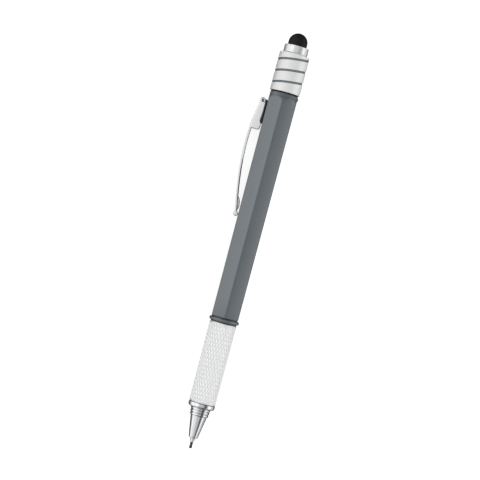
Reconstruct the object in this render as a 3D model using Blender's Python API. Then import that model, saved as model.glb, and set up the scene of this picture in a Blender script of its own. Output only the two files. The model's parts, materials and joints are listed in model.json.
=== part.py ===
"""Multi tool pen: a twist-action ballpoint with a knurled grip, a hexagonal barrel, a sprung pocket clip,
and a stylus cap that comes off a double-ended driver bit. Metres, +Z up. The pen lies on the ground plane
with its axis along X, the stylus towards +X, rolled over until the clip's edge touches the ground."""

import math

import bmesh
import bpy
from mathutils import Matrix, Vector

# Round pieces: faces round a large, an inner and a small piece
LARGE_STEPS = 32
INNER_STEPS = 22
SMALL_STEPS = 14
SHARP_ANGLE = math.radians(32)

# Fits shared by all the pieces
RADIAL_GAP = 0.0001
SEAT_GAP = 0.00005
OVERRUN = 0.001

# Refill: a short metal refill, held in the carrier
REFILL_LENGTH = 0.067
REFILL_RADIUS = 0.001175
REFILL_WALL = 0.00018
POINT_REACH = 0.0039
POINT_LENGTH = 0.0081
POINT_TIP_RADIUS = 0.00052
POINT_TIP_LENGTH = 0.0022
POINT_TAPER = 0.0018
BALL_RADIUS = 0.0004
BALL_SHOWS = 0.00028
BALL_GAP = 0.00003

# Nose cone
CONE_LENGTH = 0.0076
CONE_TIP_RADIUS = 0.00168
CONE_TOP_RADIUS = 0.0028
RIB_COUNT = 3
RIB_STACK = 0.0032
RIB_RADIUS = 0.00335
RIB_DEPTH = 0.00045
RIB_TAPER = 0.00018
FLANGE_LENGTH = 0.0017
NOSE_SPIGOT = 0.0056
NOSE_BORE_GAP = 0.00015
NOSE_TIP_BORE = 0.0058

# Knurled grip
GRIP_LENGTH = 0.0288
GRIP_LOWER_RADIUS = 0.00468
GRIP_UPPER_RADIUS = 0.0048
GRIP_WALL = 0.00108
GRIP_RIM = 0.0007
KNURL_COLUMNS = 28
KNURL_ROWS = 19
KNURL_DEPTH = 0.00019

# Bead ring in the barrel's lower end
BEAD_LENGTH = 0.0019
BEAD_RADIUS = 0.00534
BEAD_SPIGOT = 0.0048
RING_THICKNESS = 0.00056
RING_DEPTH = 0.0014

# Hexagonal barrel: across flats at its two ends
BARREL_LENGTH = 0.0809
BARREL_LOWER_FLATS = 0.00935
BARREL_UPPER_FLATS = 0.00980
BARREL_WALL = 0.000875
BARREL_CORNER = 0.0007
LIP_LENGTH = 0.0014
LIP_RADIUS = 0.0053
LIP_FLARE = 0.00018
RUNOUT_LENGTH = 0.0011

# Twist mechanism
CAM_WALL = 0.0007
CAM_BEYOND_PIN = 0.0023
ROTOR_WALL = 0.0006
ROTOR_IN_GRIP = 0.0092
CARRIER_LENGTH = 0.0138
CARRIER_GRIPS = 0.010
PIN_RADIUS = 0.0005
PIN_BELOW_TOP = 0.002
SLOT_GAP = 0.00008
RETRACT_TRAVEL = 0.0055
RETRACT_TURN = math.pi
ROTOR_ABOVE_CAM = 0.0016
SNAP_THICKNESS = 0.0005
SNAP_WIDTH = 0.0007
SNAP_GROOVE = 0.00028
SNAP_ARC = math.radians(300)

# Driver bit and its holder
BIT_LENGTH = 0.028
BIT_FLATS = 0.004
BIT_NECK_RADIUS = 0.0015
BIT_NECK_LENGTH = 0.0052
BIT_SHOULDER = 0.0009
CROSS_TAPER = 0.0022
CROSS_FLUTE = 0.0011
CROSS_WEB = 0.0006
BLADE_TAPER = 0.0036
BLADE_THICKNESS = 0.0006
HOLDER_DEPTH = 0.022
HOLDER_NECK = 0.0046
HOLDER_NECK_RADIUS = 0.0033
HOLDER_FLOOR = 0.0052

# Stylus cap
SEAL_THICKNESS = 0.0002
SEAL_INSET = 0.00022
CAP_LENGTH = 0.01385
CAP_RADIUS = 0.00535
CAP_WALL = 0.00105
CAP_TOP_WALL = 0.00105
CAP_EDGE = 0.00018
BUSH_WALL = 0.0008
BUSH_LENGTH = 0.0085
SPIRAL_LEAD = 0.0041
SPIRAL_WIDTH = 0.00073
SPIRAL_DEPTH = 0.00022
SPIRAL_FOOT = 0.00021
SPIRAL_TURNS = 3.1
SPIRAL_START = math.radians(150)
SPIRAL_TAPER = math.radians(24)
SPIRAL_TIP_SHARE = 0.3
SPIRAL_STEPS = 36

# Stylus
COLLAR_LENGTH = 0.0029
COLLAR_RADIUS = 0.00432
COLLAR_FLOOR = 0.0007
COLLAR_EDGE = 0.00015
DOME_RADIUS = 0.00335
DOME_STRAIGHT = 0.0014
DOME_WALL = 0.0008
POST_RADIUS = 0.00235
POST_HEAD = 0.0009
POST_HEAD_RADIUS = 0.0034

# Pocket clip: one stamping, its inner leaf hooked into the barrel
CLIP_DROP = 0.0031
CLIP_LENGTH = 0.0425
CLIP_SHEET = 0.0007
CLIP_BEND_RADIUS = 0.001175
CLIP_STANDOFF = 0.00425
CLIP_HALF_WIDTH = 0.002
CLIP_NECK_SHARE = 0.65
CLIP_EDGE = 0.00012
CLIP_FLEX = math.radians(6)
FLANGE_THICKNESS = 0.00055
CLIP_FLANGE_LENGTH = 0.0086
CLIP_FLANGE_START = 0.0025
TONGUE_LENGTH = 0.0082
HOOK_THICKNESS = 0.0007
BEND_STEPS = 6
FOOT_LENGTH = 0.0042
FOOT_HEIGHT = 0.00075
FOOT_GAP = 0.0005
FOOT_ABOVE_END = 0.0024
FOOT_WIDTH_SHARE = 0.8
CURL_RADIUS = 0.00085

# The arm's outer face, from the bend to its end, as shares of the clip's length and of its stand-off
ARM_SHARES = (
    (0.0280, 0.576),
    (0.0800, 0.695),
    (0.1780, 0.815),
    (0.2600, 0.925),
    (0.3570, 0.990),
    (0.4620, 0.975),
    (0.5680, 0.915),
    (0.6620, 0.815),
    (0.7680, 0.665),
    (0.8520, 0.525),
    (0.9250, 0.390),
    (0.9700, 0.320),
)
# The arm's half width at its two ends, as shares of the clip's half width
ARM_END_SHARE = 0.7
ARM_PER_SHARE = 3

# One side flange of the clip: places along its length and across from the sheet to its inner edge
FLANGE_SHARES = (
    (0.00, 0.98),
    (0.35, 0.94),
    (0.66, 0.92),
    (0.70, 1.16),
    (0.80, 1.20),
    (0.90, 1.12),
    (0.97, 0.92),
    (1.00, 0.66),
    (1.00, 0.20),
)
FLANGE_DEPTH = 0.0025

# Heights along the pen's own axis, from the ball up
nose_z = POINT_REACH
rib_z = nose_z + CONE_LENGTH
flange_z = rib_z + RIB_STACK
flange_top_z = flange_z + FLANGE_LENGTH
grip_z = flange_top_z + SEAT_GAP
grip_top_z = grip_z + GRIP_LENGTH
bead_z = grip_top_z + SEAT_GAP
bead_top_z = bead_z + BEAD_LENGTH
barrel_z = bead_top_z + SEAT_GAP
barrel_top_z = barrel_z + BARREL_LENGTH
seal_z = barrel_top_z + SEAT_GAP
cap_z = seal_z + SEAL_THICKNESS + SEAT_GAP
cap_top_z = cap_z + CAP_LENGTH
collar_z = cap_top_z + SEAT_GAP
collar_top_z = collar_z + COLLAR_LENGTH
dome_z = collar_z + COLLAR_FLOOR + SEAT_GAP
dome_centre_z = collar_top_z + DOME_STRAIGHT
pen_length = dome_centre_z + DOME_RADIUS

# Radii of the pieces that sit in one another
lower_flat = BARREL_LOWER_FLATS / 2
upper_flat = BARREL_UPPER_FLATS / 2
barrel_bore = lower_flat - BARREL_WALL
cam_radius = barrel_bore - RADIAL_GAP
cam_bore = cam_radius - CAM_WALL
rotor_radius = cam_bore - RADIAL_GAP
rotor_bore = rotor_radius - ROTOR_WALL
carrier_radius = rotor_bore - RADIAL_GAP
grip_bore = GRIP_LOWER_RADIUS - GRIP_WALL
grip_insert_radius = grip_bore - RADIAL_GAP
nose_bore = REFILL_RADIUS + NOSE_BORE_GAP
cap_bore = CAP_RADIUS - CAP_WALL
bush_radius = cap_bore - RADIAL_GAP
bush_bore = bush_radius - BUSH_WALL
holder_radius = barrel_bore - RADIAL_GAP
neck_radius = min(HOLDER_NECK_RADIUS, bush_bore - RADIAL_GAP)
collar_bore = DOME_RADIUS + RADIAL_GAP
post_hole = POST_RADIUS + RADIAL_GAP
dome_bore = DOME_RADIUS - DOME_WALL

# Mechanism heights
ring_z = barrel_z + RING_DEPTH
bush_top_z = barrel_z + BEAD_SPIGOT
cam_z = bush_top_z + SEAT_GAP
rotor_z = grip_top_z - ROTOR_IN_GRIP
carrier_z = REFILL_LENGTH - CARRIER_GRIPS
carrier_top_z = carrier_z + CARRIER_LENGTH
pin_z = carrier_top_z - PIN_BELOW_TOP
cam_top_z = pin_z + RETRACT_TRAVEL + CAM_BEYOND_PIN
snap_z = cam_top_z + RADIAL_GAP
rotor_top_z = cam_top_z + ROTOR_ABOVE_CAM
cam_lead = RETRACT_TRAVEL * math.tau / RETRACT_TURN

# Bit heights
holder_z = barrel_top_z - HOLDER_DEPTH
holder_top_z = barrel_top_z + HOLDER_NECK
socket_z = holder_z + HOLDER_FLOOR
bit_z = socket_z + SEAT_GAP
bit_top_z = bit_z + BIT_LENGTH
cap_roof_z = cap_top_z - CAP_TOP_WALL

# Clip places: the bend's centre is the axis that the arm springs about
flats_top_z = barrel_top_z - LIP_LENGTH / 2
clip_top_z = barrel_top_z - CLIP_DROP
hinge_z = clip_top_z - CLIP_BEND_RADIUS
barrel_rise = (hinge_z - barrel_z) / (flats_top_z - barrel_z)
clip_flat = lower_flat + (upper_flat - lower_flat) * barrel_rise
hinge_x = clip_flat + RADIAL_GAP + CLIP_BEND_RADIUS
clip_reach = clip_flat + CLIP_STANDOFF
tongue_half = CLIP_HALF_WIDTH - FLANGE_THICKNESS - RADIAL_GAP
hook_z = hinge_z - TONGUE_LENGTH

# How the pen lies: rolled about its axis until the clip's edge meets the ground
clip_edge_reach = math.hypot(clip_reach, CLIP_HALF_WIDTH)
roll = math.asin(CAP_RADIUS / clip_edge_reach) - math.atan2(CLIP_HALF_WIDTH, clip_reach)
clip_side = clip_reach * math.cos(roll) + CLIP_HALF_WIDTH * math.sin(roll)
axis_y = (CAP_RADIUS - clip_side) / 2


def clear_scene():
    for thing in list(bpy.data.objects):
        bpy.data.objects.remove(thing)


def make_frame():
    """The empty that carries the pen: its Z is the pen's axis, its X points at the clip."""
    frame = bpy.data.objects.new("pen_axis", None)
    bpy.context.scene.collection.objects.link(frame)
    clip_way = Vector((0, math.cos(roll), -math.sin(roll)))
    up_way = Vector((0, math.sin(roll), math.cos(roll)))
    along = Vector((1, 0, 0))
    turn = Matrix((clip_way, up_way, along)).transposed().to_4x4()
    frame.matrix_world = Matrix.Translation((-pen_length / 2, axis_y, CAP_RADIUS)) @ turn
    return frame


def material(name, colour, roughness, metallic):
    made = bpy.data.materials.get(name)
    if made is None:
        made = bpy.data.materials.new(name)
        made.use_nodes = True
        shader = made.node_tree.nodes["Principled BSDF"]
        shader.inputs["Base Color"].default_value = (*colour, 1)
        shader.inputs["Roughness"].default_value = roughness
        shader.inputs["Metallic"].default_value = metallic
    return made


def add_piece(name, form, finish, parent, smooth=True):
    mesh = bpy.data.meshes.new(name)
    bmesh.ops.recalc_face_normals(form, faces=form.faces)
    form.to_mesh(mesh)
    form.free()
    piece = bpy.data.objects.new(name, mesh)
    bpy.context.scene.collection.objects.link(piece)
    piece.parent = parent
    if finish:
        mesh.materials.append(finish)
    if smooth:
        mesh.shade_smooth()
        mesh.set_sharp_from_angle(angle=SHARP_ANGLE)
    return piece


def add_helper(name, form, parent):
    helper = add_piece(name, form, None, parent, smooth=False)
    helper.hide_render = True
    helper.display_type = "WIRE"
    return helper


def combine(piece, other, operation):
    modifier = piece.modifiers.new(other.name, "BOOLEAN")
    modifier.operation = operation
    modifier.solver = "EXACT"
    modifier.object = other


def turned(outline, steps):
    """Spins an outline of (radius, height) points round Z. It may start and end on the axis."""
    form = bmesh.new()
    points = [form.verts.new((radius, 0, height)) for radius, height in outline]
    on_axis = outline[0][0] == 0 and outline[-1][0] == 0
    edges = [form.edges.new(pair) for pair in zip(points, points[1:])]
    if not on_axis:
        edges.append(form.edges.new((points[-1], points[0])))
    bmesh.ops.spin(
        form,
        geom=points + edges,
        cent=(0, 0, 0),
        axis=(0, 0, 1),
        angle=math.tau,
        steps=steps,
        use_merge=True,
    )
    bmesh.ops.remove_doubles(form, verts=form.verts, dist=RADIAL_GAP / 100)
    bmesh.ops.dissolve_degenerate(form, dist=RADIAL_GAP / 100, edges=form.edges)
    return form


def tube_outline(inner, outer, low, high):
    return [(inner, low), (outer, low), (outer, high), (inner, high)]


def lofted(rings):
    """Joins rings of equal count, in order, and fills the first and last."""
    form = bmesh.new()
    rows = [[form.verts.new(point) for point in ring] for ring in rings]
    for lower, upper in zip(rows, rows[1:]):
        for i in range(len(lower)):
            j = (i + 1) % len(lower)
            form.faces.new((lower[i], lower[j], upper[j], upper[i]))
    form.faces.new(rows[0][::-1])
    form.faces.new(rows[-1])
    return form


def box(low, high):
    corners = ((0, 0), (1, 0), (1, 1), (0, 1))
    ends = (low, high)
    return lofted([[(ends[i][0], ends[j][1], end[2]) for i, j in corners] for end in ends])


def arc(centre_x, centre_z, radius, start, end, steps):
    """Points of an arc in an (x, z) outline."""
    angles = [start + (end - start) * k / steps for k in range(steps + 1)]
    return [(centre_x + radius * math.cos(a), centre_z + radius * math.sin(a)) for a in angles]


def smooth_path(points, per_span):
    """A Catmull-Rom curve through the points."""
    padded = [points[0]] + list(points) + [points[-1]]
    found = []
    for a, b, c, d in zip(padded, padded[1:], padded[2:], padded[3:]):
        for k in range(per_span):
            t = k / per_span
            point = []
            for p, q, r, s in zip(a, b, c, d):
                square = 2 * p - 5 * q + 4 * r - s
                cube = 3 * (q - r) - p + s
                point.append(q + ((r - p) * t + square * t**2 + cube * t**3) / 2)
            found.append(tuple(point))
    found.append(points[-1])
    return found


def wound_bar(inner, outer, half_height, start, end, foot, lead, steps, taper=0, tip_share=1):
    """A bar of rectangular section wound round Z, as a cutter of slots and grooves or as a snap ring."""
    count = max(2, math.ceil((end - start) / math.tau * steps))
    rings = []
    for k in range(count + 1):
        angle = start + (end - start) * k / count
        near_end = min(angle - start, end - angle)
        share = tip_share + (1 - tip_share) * min(1, near_end / taper) if taper else 1
        middle = foot + lead * (angle - start) / math.tau
        half = half_height * share
        corners = ((inner, -half), (outer, -half), (outer, half), (inner, half))
        rings.append([(r * math.cos(angle), r * math.sin(angle), middle + h) for r, h in corners])
    return lofted(rings)


def hexagon_ring(flat, corner, height, steps):
    """A rounded hexagon with a corner edge at +Y: flat is half its width across flats."""
    ring = []
    reach = (flat - corner) / math.cos(math.pi / 6)
    for k in range(6):
        middle = math.pi / 6 + k * math.pi / 3
        for j in range(steps + 1):
            angle = middle + (j / steps - 0.5) * math.pi / 3
            x = reach * math.cos(middle) + corner * math.cos(angle)
            y = reach * math.sin(middle) + corner * math.sin(angle)
            ring.append((x, y, height))
    return ring


def make_barrel(frame, finish):
    rings = [
        hexagon_ring(lower_flat, BARREL_CORNER, barrel_z, 4),
        hexagon_ring(upper_flat, BARREL_CORNER, flats_top_z, 4),
    ]
    barrel = add_piece("hex_barrel", lofted(rings), finish, frame)
    # The corners run out under the lip in a chamfer, as on a nut
    corner_reach = upper_flat / math.cos(math.pi / 6)
    lip_z = barrel_top_z - LIP_LENGTH
    chamfer_z = lip_z - RUNOUT_LENGTH
    envelope = [
        (0, barrel_z - OVERRUN),
        (corner_reach + OVERRUN, barrel_z - OVERRUN),
        (corner_reach + OVERRUN, chamfer_z - RUNOUT_LENGTH / 2),
        (corner_reach - (corner_reach - upper_flat) / 2, chamfer_z),
        (upper_flat, lip_z),
        (upper_flat, flats_top_z - LIP_LENGTH / 4),
        (0, flats_top_z - LIP_LENGTH / 4),
    ]
    combine(barrel, add_helper("barrel_envelope", turned(envelope, LARGE_STEPS), frame), "INTERSECT")
    lip_bore = barrel_bore - OVERRUN / 2
    lip_round = LIP_LENGTH / 4
    lip = [(lip_bore, lip_z), (LIP_RADIUS - lip_round, lip_z)]
    lip += arc(LIP_RADIUS - lip_round, lip_z + lip_round, lip_round, -math.pi / 2, 0, 3)[1:]
    lip += arc(LIP_RADIUS - LIP_FLARE - lip_round, barrel_top_z - lip_round, lip_round, 0, math.pi / 2, 3)
    lip += [(lip_bore, barrel_top_z)]
    combine(barrel, add_helper("barrel_lip", turned(lip, LARGE_STEPS), frame), "UNION")
    bore = [
        (0, barrel_z - OVERRUN),
        (barrel_bore, barrel_z - OVERRUN),
        (barrel_bore, barrel_top_z + OVERRUN),
        (0, barrel_top_z + OVERRUN),
    ]
    combine(barrel, add_helper("barrel_bore", turned(bore, LARGE_STEPS), frame), "DIFFERENCE")
    slot_half = tongue_half + RADIAL_GAP
    slot_low = hook_z - HOOK_THICKNESS - RADIAL_GAP
    slot_high = hook_z + RADIAL_GAP
    slot = box((barrel_bore - OVERRUN, -slot_half, slot_low), (upper_flat + OVERRUN, slot_half, slot_high))
    combine(barrel, add_helper("clip_slot", slot, frame), "DIFFERENCE")


def make_barrel_end_ring(frame, finish):
    """The bead is a full round; its spigot holds the rubber ring's groove."""
    half = BEAD_LENGTH / 2
    groove_half = RING_THICKNESS / 2 + SEAT_GAP
    groove_radius = cam_bore + RING_THICKNESS + SEAT_GAP
    outline = [(cam_bore, bead_z), (grip_bore, bead_z)]
    outline += arc(BEAD_RADIUS - half, bead_z + half, half, -math.pi / 2, math.pi / 2, 7)
    outline += [
        (cam_radius, bead_top_z),
        (cam_radius, bush_top_z),
        (cam_bore, bush_top_z),
        (cam_bore, ring_z + groove_half),
        (groove_radius, ring_z + groove_half),
        (groove_radius, ring_z - groove_half),
        (cam_bore, ring_z - groove_half),
    ]
    add_piece("barrel_end_ring", turned(outline, LARGE_STEPS), finish, frame)


def make_friction_ring(frame, finish):
    half = RING_THICKNESS / 2
    middle = cam_bore + half - RADIAL_GAP / 4
    outline = arc(middle, ring_z, half, 0, math.tau, 8)[:-1]
    add_piece("friction_ring", turned(outline, INNER_STEPS), finish, frame)


def make_cam_tube(frame, finish):
    outline = tube_outline(cam_bore, cam_radius, cam_z, cam_top_z)
    tube = add_piece("cam_tube", turned(outline, INNER_STEPS), finish, frame)
    pin_room = PIN_RADIUS + SLOT_GAP
    pitch_radius = (cam_bore + cam_radius) / 2
    rise_angle = math.atan(cam_lead / (math.tau * pitch_radius))
    half = pin_room / math.cos(rise_angle) + SLOT_GAP
    spare = math.asin(pin_room / cam_bore)
    foot = pin_z - cam_lead * spare / math.tau
    inner = cam_bore - OVERRUN / 2
    outer = cam_radius + OVERRUN
    slot = wound_bar(inner, outer, half, -spare, RETRACT_TURN + spare, foot, cam_lead, INNER_STEPS)
    combine(tube, add_helper("cam_slot", slot, frame), "DIFFERENCE")


def make_cam_rotor(frame, finish):
    groove_radius = rotor_radius - SNAP_GROOVE
    outline = [
        (rotor_bore, rotor_z),
        (grip_insert_radius, rotor_z),
        (grip_insert_radius, grip_top_z - SEAT_GAP),
        (rotor_radius, grip_top_z - SEAT_GAP),
        (rotor_radius, snap_z - SEAT_GAP),
        (groove_radius, snap_z - SEAT_GAP),
        (groove_radius, snap_z + SNAP_THICKNESS + SEAT_GAP),
        (rotor_radius, snap_z + SNAP_THICKNESS + SEAT_GAP),
        (rotor_radius, rotor_top_z),
        (rotor_bore, rotor_top_z),
    ]
    rotor = add_piece("cam_rotor", turned(outline, INNER_STEPS), finish, frame)
    half = PIN_RADIUS + SLOT_GAP
    low = (rotor_bore - OVERRUN / 2, -half, pin_z - half)
    high = (rotor_radius + OVERRUN, half, pin_z + RETRACT_TRAVEL + half)
    combine(rotor, add_helper("rotor_slot", box(low, high), frame), "DIFFERENCE")


def make_retaining_ring(frame, finish):
    inner = rotor_radius - SNAP_GROOVE + SEAT_GAP
    half = SNAP_THICKNESS / 2
    start = (math.tau - SNAP_ARC) / 2
    middle = snap_z + half
    form = wound_bar(inner, inner + SNAP_WIDTH, half, start, math.tau - start, middle, 0, INNER_STEPS)
    add_piece("retaining_ring", form, finish, frame)


def make_refill_carrier(frame, finish):
    """The bore grips the tube's end; the pin crosses the solid top."""
    grip_radius = REFILL_RADIUS + RADIAL_GAP / 2
    outline = [
        (0, REFILL_LENGTH + SEAT_GAP),
        (grip_radius, REFILL_LENGTH + SEAT_GAP),
        (grip_radius, carrier_z),
        (carrier_radius, carrier_z),
        (carrier_radius, carrier_top_z),
        (0, carrier_top_z),
    ]
    carrier = add_piece("refill_carrier", turned(outline, INNER_STEPS), finish, frame)
    hole_radius = PIN_RADIUS + SEAT_GAP
    hole = turned([(0, 0), (hole_radius, 0), (hole_radius, rotor_radius), (0, rotor_radius)], SMALL_STEPS)
    hole.transform(Matrix.Translation((0, 0, pin_z)) @ Matrix.Rotation(math.pi / 2, 4, "Y"))
    combine(carrier, add_helper("pin_hole", hole, frame), "DIFFERENCE")


def make_follower_pin(frame, finish):
    length = cam_radius - RADIAL_GAP
    inset = PIN_RADIUS / 5
    outline = [
        (0, SEAT_GAP),
        (PIN_RADIUS, SEAT_GAP),
        (PIN_RADIUS, length - inset),
        (PIN_RADIUS - inset, length),
        (0, length),
    ]
    form = turned(outline, SMALL_STEPS)
    form.transform(Matrix.Translation((0, 0, pin_z)) @ Matrix.Rotation(math.pi / 2, 4, "Y"))
    add_piece("follower_pin", form, finish, frame)


def make_refill(frame, tube_finish, point_finish, ball_finish):
    tube_bore = REFILL_RADIUS - REFILL_WALL
    tube_z = POINT_LENGTH + SEAT_GAP
    tube = tube_outline(tube_bore, REFILL_RADIUS, tube_z, REFILL_LENGTH)
    add_piece("refill_tube", turned(tube, SMALL_STEPS), tube_finish, frame)
    # The point's rim closes round the ball and leaves it free to roll
    socket = BALL_RADIUS + BALL_GAP
    rim_angle = -math.acos((BALL_RADIUS - BALL_SHOWS) / socket)
    lowest = arc(0, BALL_RADIUS, socket, math.pi / 2, rim_angle + math.pi / 6, 7)
    rim_z = lowest[-1][1]
    taper_z = rim_z + POINT_TIP_LENGTH
    spigot = tube_bore - RADIAL_GAP / 2
    outline = list(lowest)
    outline += [
        (POINT_TIP_RADIUS, rim_z + BALL_RADIUS / 3),
        (POINT_TIP_RADIUS, taper_z),
        (REFILL_RADIUS, taper_z + POINT_TAPER),
        (REFILL_RADIUS, POINT_LENGTH),
        (spigot, POINT_LENGTH),
        (spigot, POINT_LENGTH + POINT_TAPER),
        (0, POINT_LENGTH + POINT_TAPER),
    ]
    outline[0] = (0, outline[0][1])
    add_piece("refill_point", turned(outline, SMALL_STEPS), point_finish, frame)
    ball = bmesh.new()
    bmesh.ops.create_uvsphere(ball, u_segments=SMALL_STEPS, v_segments=SMALL_STEPS // 2, radius=BALL_RADIUS)
    bmesh.ops.translate(ball, verts=ball.verts, vec=(0, 0, BALL_RADIUS))
    add_piece("writing_ball", ball, ball_finish, frame)


def make_nose_cone(frame, finish):
    """Flange, three turned ribs and the cone, on a spigot in the grip."""
    edge = CONE_TIP_RADIUS / 8
    outline = [(nose_bore, nose_z), (CONE_TIP_RADIUS - edge, nose_z), (CONE_TIP_RADIUS, nose_z + edge)]
    outline += [(CONE_TOP_RADIUS, rib_z)]
    pitch = RIB_STACK / RIB_COUNT
    for k in range(RIB_COUNT):
        foot = rib_z + k * pitch
        crest = RIB_RADIUS - RIB_TAPER * (RIB_COUNT - 1 - k) / (RIB_COUNT - 1)
        outline += [
            (crest - RIB_DEPTH, foot + pitch / 12),
            (crest - RIB_DEPTH / 5, foot + pitch / 5),
            (crest, foot + pitch / 2),
            (crest - RIB_DEPTH / 5, foot + pitch * 4 / 5),
            (crest - RIB_DEPTH, foot + pitch * 11 / 12),
        ]
    round_radius = FLANGE_LENGTH / 2
    outline += arc(
        GRIP_LOWER_RADIUS - round_radius, flange_z + round_radius, round_radius, -math.pi / 2, 0, 5
    )
    spigot_top = flange_top_z + NOSE_SPIGOT
    outline += [
        (GRIP_LOWER_RADIUS, flange_top_z),
        (grip_insert_radius, flange_top_z),
        (grip_insert_radius, spigot_top),
        (rotor_bore, spigot_top),
        (rotor_bore, rib_z + RIB_STACK / 2),
        (nose_bore, nose_z + NOSE_TIP_BORE),
    ]
    add_piece("nose_cone", turned(outline, LARGE_STEPS), finish, frame)


def make_grip(frame, finish):
    """Two families of helical cuts leave rows of pointed diamonds, each row half a step round."""
    columns = KNURL_COLUMNS * 2
    knurl_length = GRIP_LENGTH - GRIP_RIM * 2
    form = bmesh.new()

    def ring(radius, height, row=None):
        points = []
        for k in range(columns):
            cut = KNURL_DEPTH if row is not None and (k + row) % 2 == 0 else 0
            angle = math.tau * k / columns
            reach = radius - cut
            points.append(form.verts.new((reach * math.cos(angle), reach * math.sin(angle), height)))
        return points

    def outer(height):
        rise = (height - grip_z) / GRIP_LENGTH
        return GRIP_LOWER_RADIUS + (GRIP_UPPER_RADIUS - GRIP_LOWER_RADIUS) * rise

    valley = KNURL_DEPTH * 2 / 3
    low_z = grip_z + GRIP_RIM
    high_z = grip_top_z - GRIP_RIM
    rows = [ring(grip_bore, grip_z), ring(outer(grip_z) - valley, grip_z)]
    rows.append(ring(outer(low_z) - valley, low_z))
    for j in range(1, KNURL_ROWS):
        height = low_z + knurl_length * j / KNURL_ROWS
        rows.append(ring(outer(height), height, j))
    rows.append(ring(outer(high_z) - valley, high_z))
    rows.append(ring(outer(grip_top_z) - valley, grip_top_z))
    rows.append(ring(grip_bore, grip_top_z))
    rows.append(rows[0])
    for n, (lower, upper) in enumerate(zip(rows, rows[1:])):
        for k in range(columns):
            j = (k + 1) % columns
            corners = (lower[k], lower[j], upper[j], upper[k])
            # The fold runs from one cut crossing to the next, so that each diamond keeps its point
            if 2 <= n < 2 + KNURL_ROWS:
                first = 0 if (k + n - 2) % 2 == 0 else 1
                form.faces.new((corners[first], corners[first + 1], corners[first + 2]))
                form.faces.new((corners[(first + 2) % 4], corners[(first + 3) % 4], corners[first]))
            else:
                form.faces.new(corners)
    add_piece("grip_sleeve", form, finish, frame)


def make_bit_holder(frame, finish):
    edge = HOLDER_NECK_RADIUS / 12
    outline = [
        (0, holder_z),
        (holder_radius - edge, holder_z),
        (holder_radius, holder_z + edge),
        (holder_radius, barrel_top_z - SEAT_GAP),
        (neck_radius, barrel_top_z - SEAT_GAP),
        (neck_radius, holder_top_z - edge),
        (neck_radius - edge, holder_top_z),
        (0, holder_top_z),
    ]
    holder = add_piece("bit_holder", turned(outline, INNER_STEPS), finish, frame)
    flat = BIT_FLATS / 2 + SEAT_GAP
    socket = lofted([plain_hexagon(flat, socket_z), plain_hexagon(flat, holder_top_z + OVERRUN)])
    combine(holder, add_helper("bit_socket", socket, frame), "DIFFERENCE")


def plain_hexagon(flat, height):
    reach = flat / math.cos(math.pi / 6)
    angles = [math.pi / 6 + k * math.pi / 3 for k in range(6)]
    return [(reach * math.cos(a), reach * math.sin(a), height) for a in angles]


def make_driver_bit(frame, finish):
    """A hexagon bar turned down at both ends: a cross point above, a flat blade below."""
    flat = BIT_FLATS / 2
    bit = add_piece(
        "driver_bit", lofted([plain_hexagon(flat, bit_z), plain_hexagon(flat, bit_top_z)]), finish, frame
    )
    shoulder_low = bit_z + BIT_NECK_LENGTH
    shoulder_high = bit_top_z - BIT_NECK_LENGTH
    reach = flat / math.cos(math.pi / 6) + BIT_SHOULDER / 3
    envelope = [
        (0, bit_z),
        (BIT_NECK_RADIUS, bit_z),
        (BIT_NECK_RADIUS, shoulder_low),
        (reach, shoulder_low + BIT_SHOULDER),
        (reach, shoulder_high - BIT_SHOULDER),
        (BIT_NECK_RADIUS, shoulder_high),
        (BIT_NECK_RADIUS, bit_top_z - CROSS_TAPER),
        (BIT_NECK_RADIUS / 4, bit_top_z),
        (0, bit_top_z),
    ]
    combine(bit, add_helper("bit_envelope", turned(envelope, SMALL_STEPS), frame), "INTERSECT")
    for k in range(4):
        flute = lofted(
            [
                flute_ring(CROSS_WEB / 3, bit_top_z + OVERRUN),
                flute_ring(CROSS_WEB / 2, bit_top_z - CROSS_TAPER),
                flute_ring(BIT_NECK_RADIUS, bit_top_z - CROSS_TAPER - CROSS_FLUTE),
            ]
        )
        flute.transform(Matrix.Rotation(k * math.pi / 2, 4, "Z"))
        combine(bit, add_helper(f"cross_flute_{k + 1}", flute, frame), "DIFFERENCE")
    for side in (-1, 1):
        blade = lofted(
            [
                blade_ring(side, BLADE_THICKNESS / 2, bit_z - OVERRUN),
                blade_ring(side, BLADE_THICKNESS / 2, bit_z + CROSS_WEB),
                blade_ring(side, BIT_NECK_RADIUS, bit_z + BLADE_TAPER),
            ]
        )
        combine(bit, add_helper(f"blade_cut_{(side + 3) // 2}", blade, frame), "DIFFERENCE")


def flute_ring(near, height):
    """A quarter notch between two wings of the cross point."""
    far = BIT_FLATS
    return [(near, near, height), (far, near, height), (far, far, height), (near, far, height)]


def blade_ring(side, near, height):
    far = BIT_FLATS
    corners = ((-far, near), (far, near), (far, far), (-far, far))
    return [(x, side * y, height) for x, y in corners]


def make_cap_seal(frame, finish):
    outer = LIP_RADIUS - SEAL_INSET
    inner = neck_radius + RADIAL_GAP
    outline = tube_outline(inner, outer, seal_z, seal_z + SEAL_THICKNESS)
    add_piece("cap_seal", turned(outline, INNER_STEPS), finish, frame)


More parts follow.
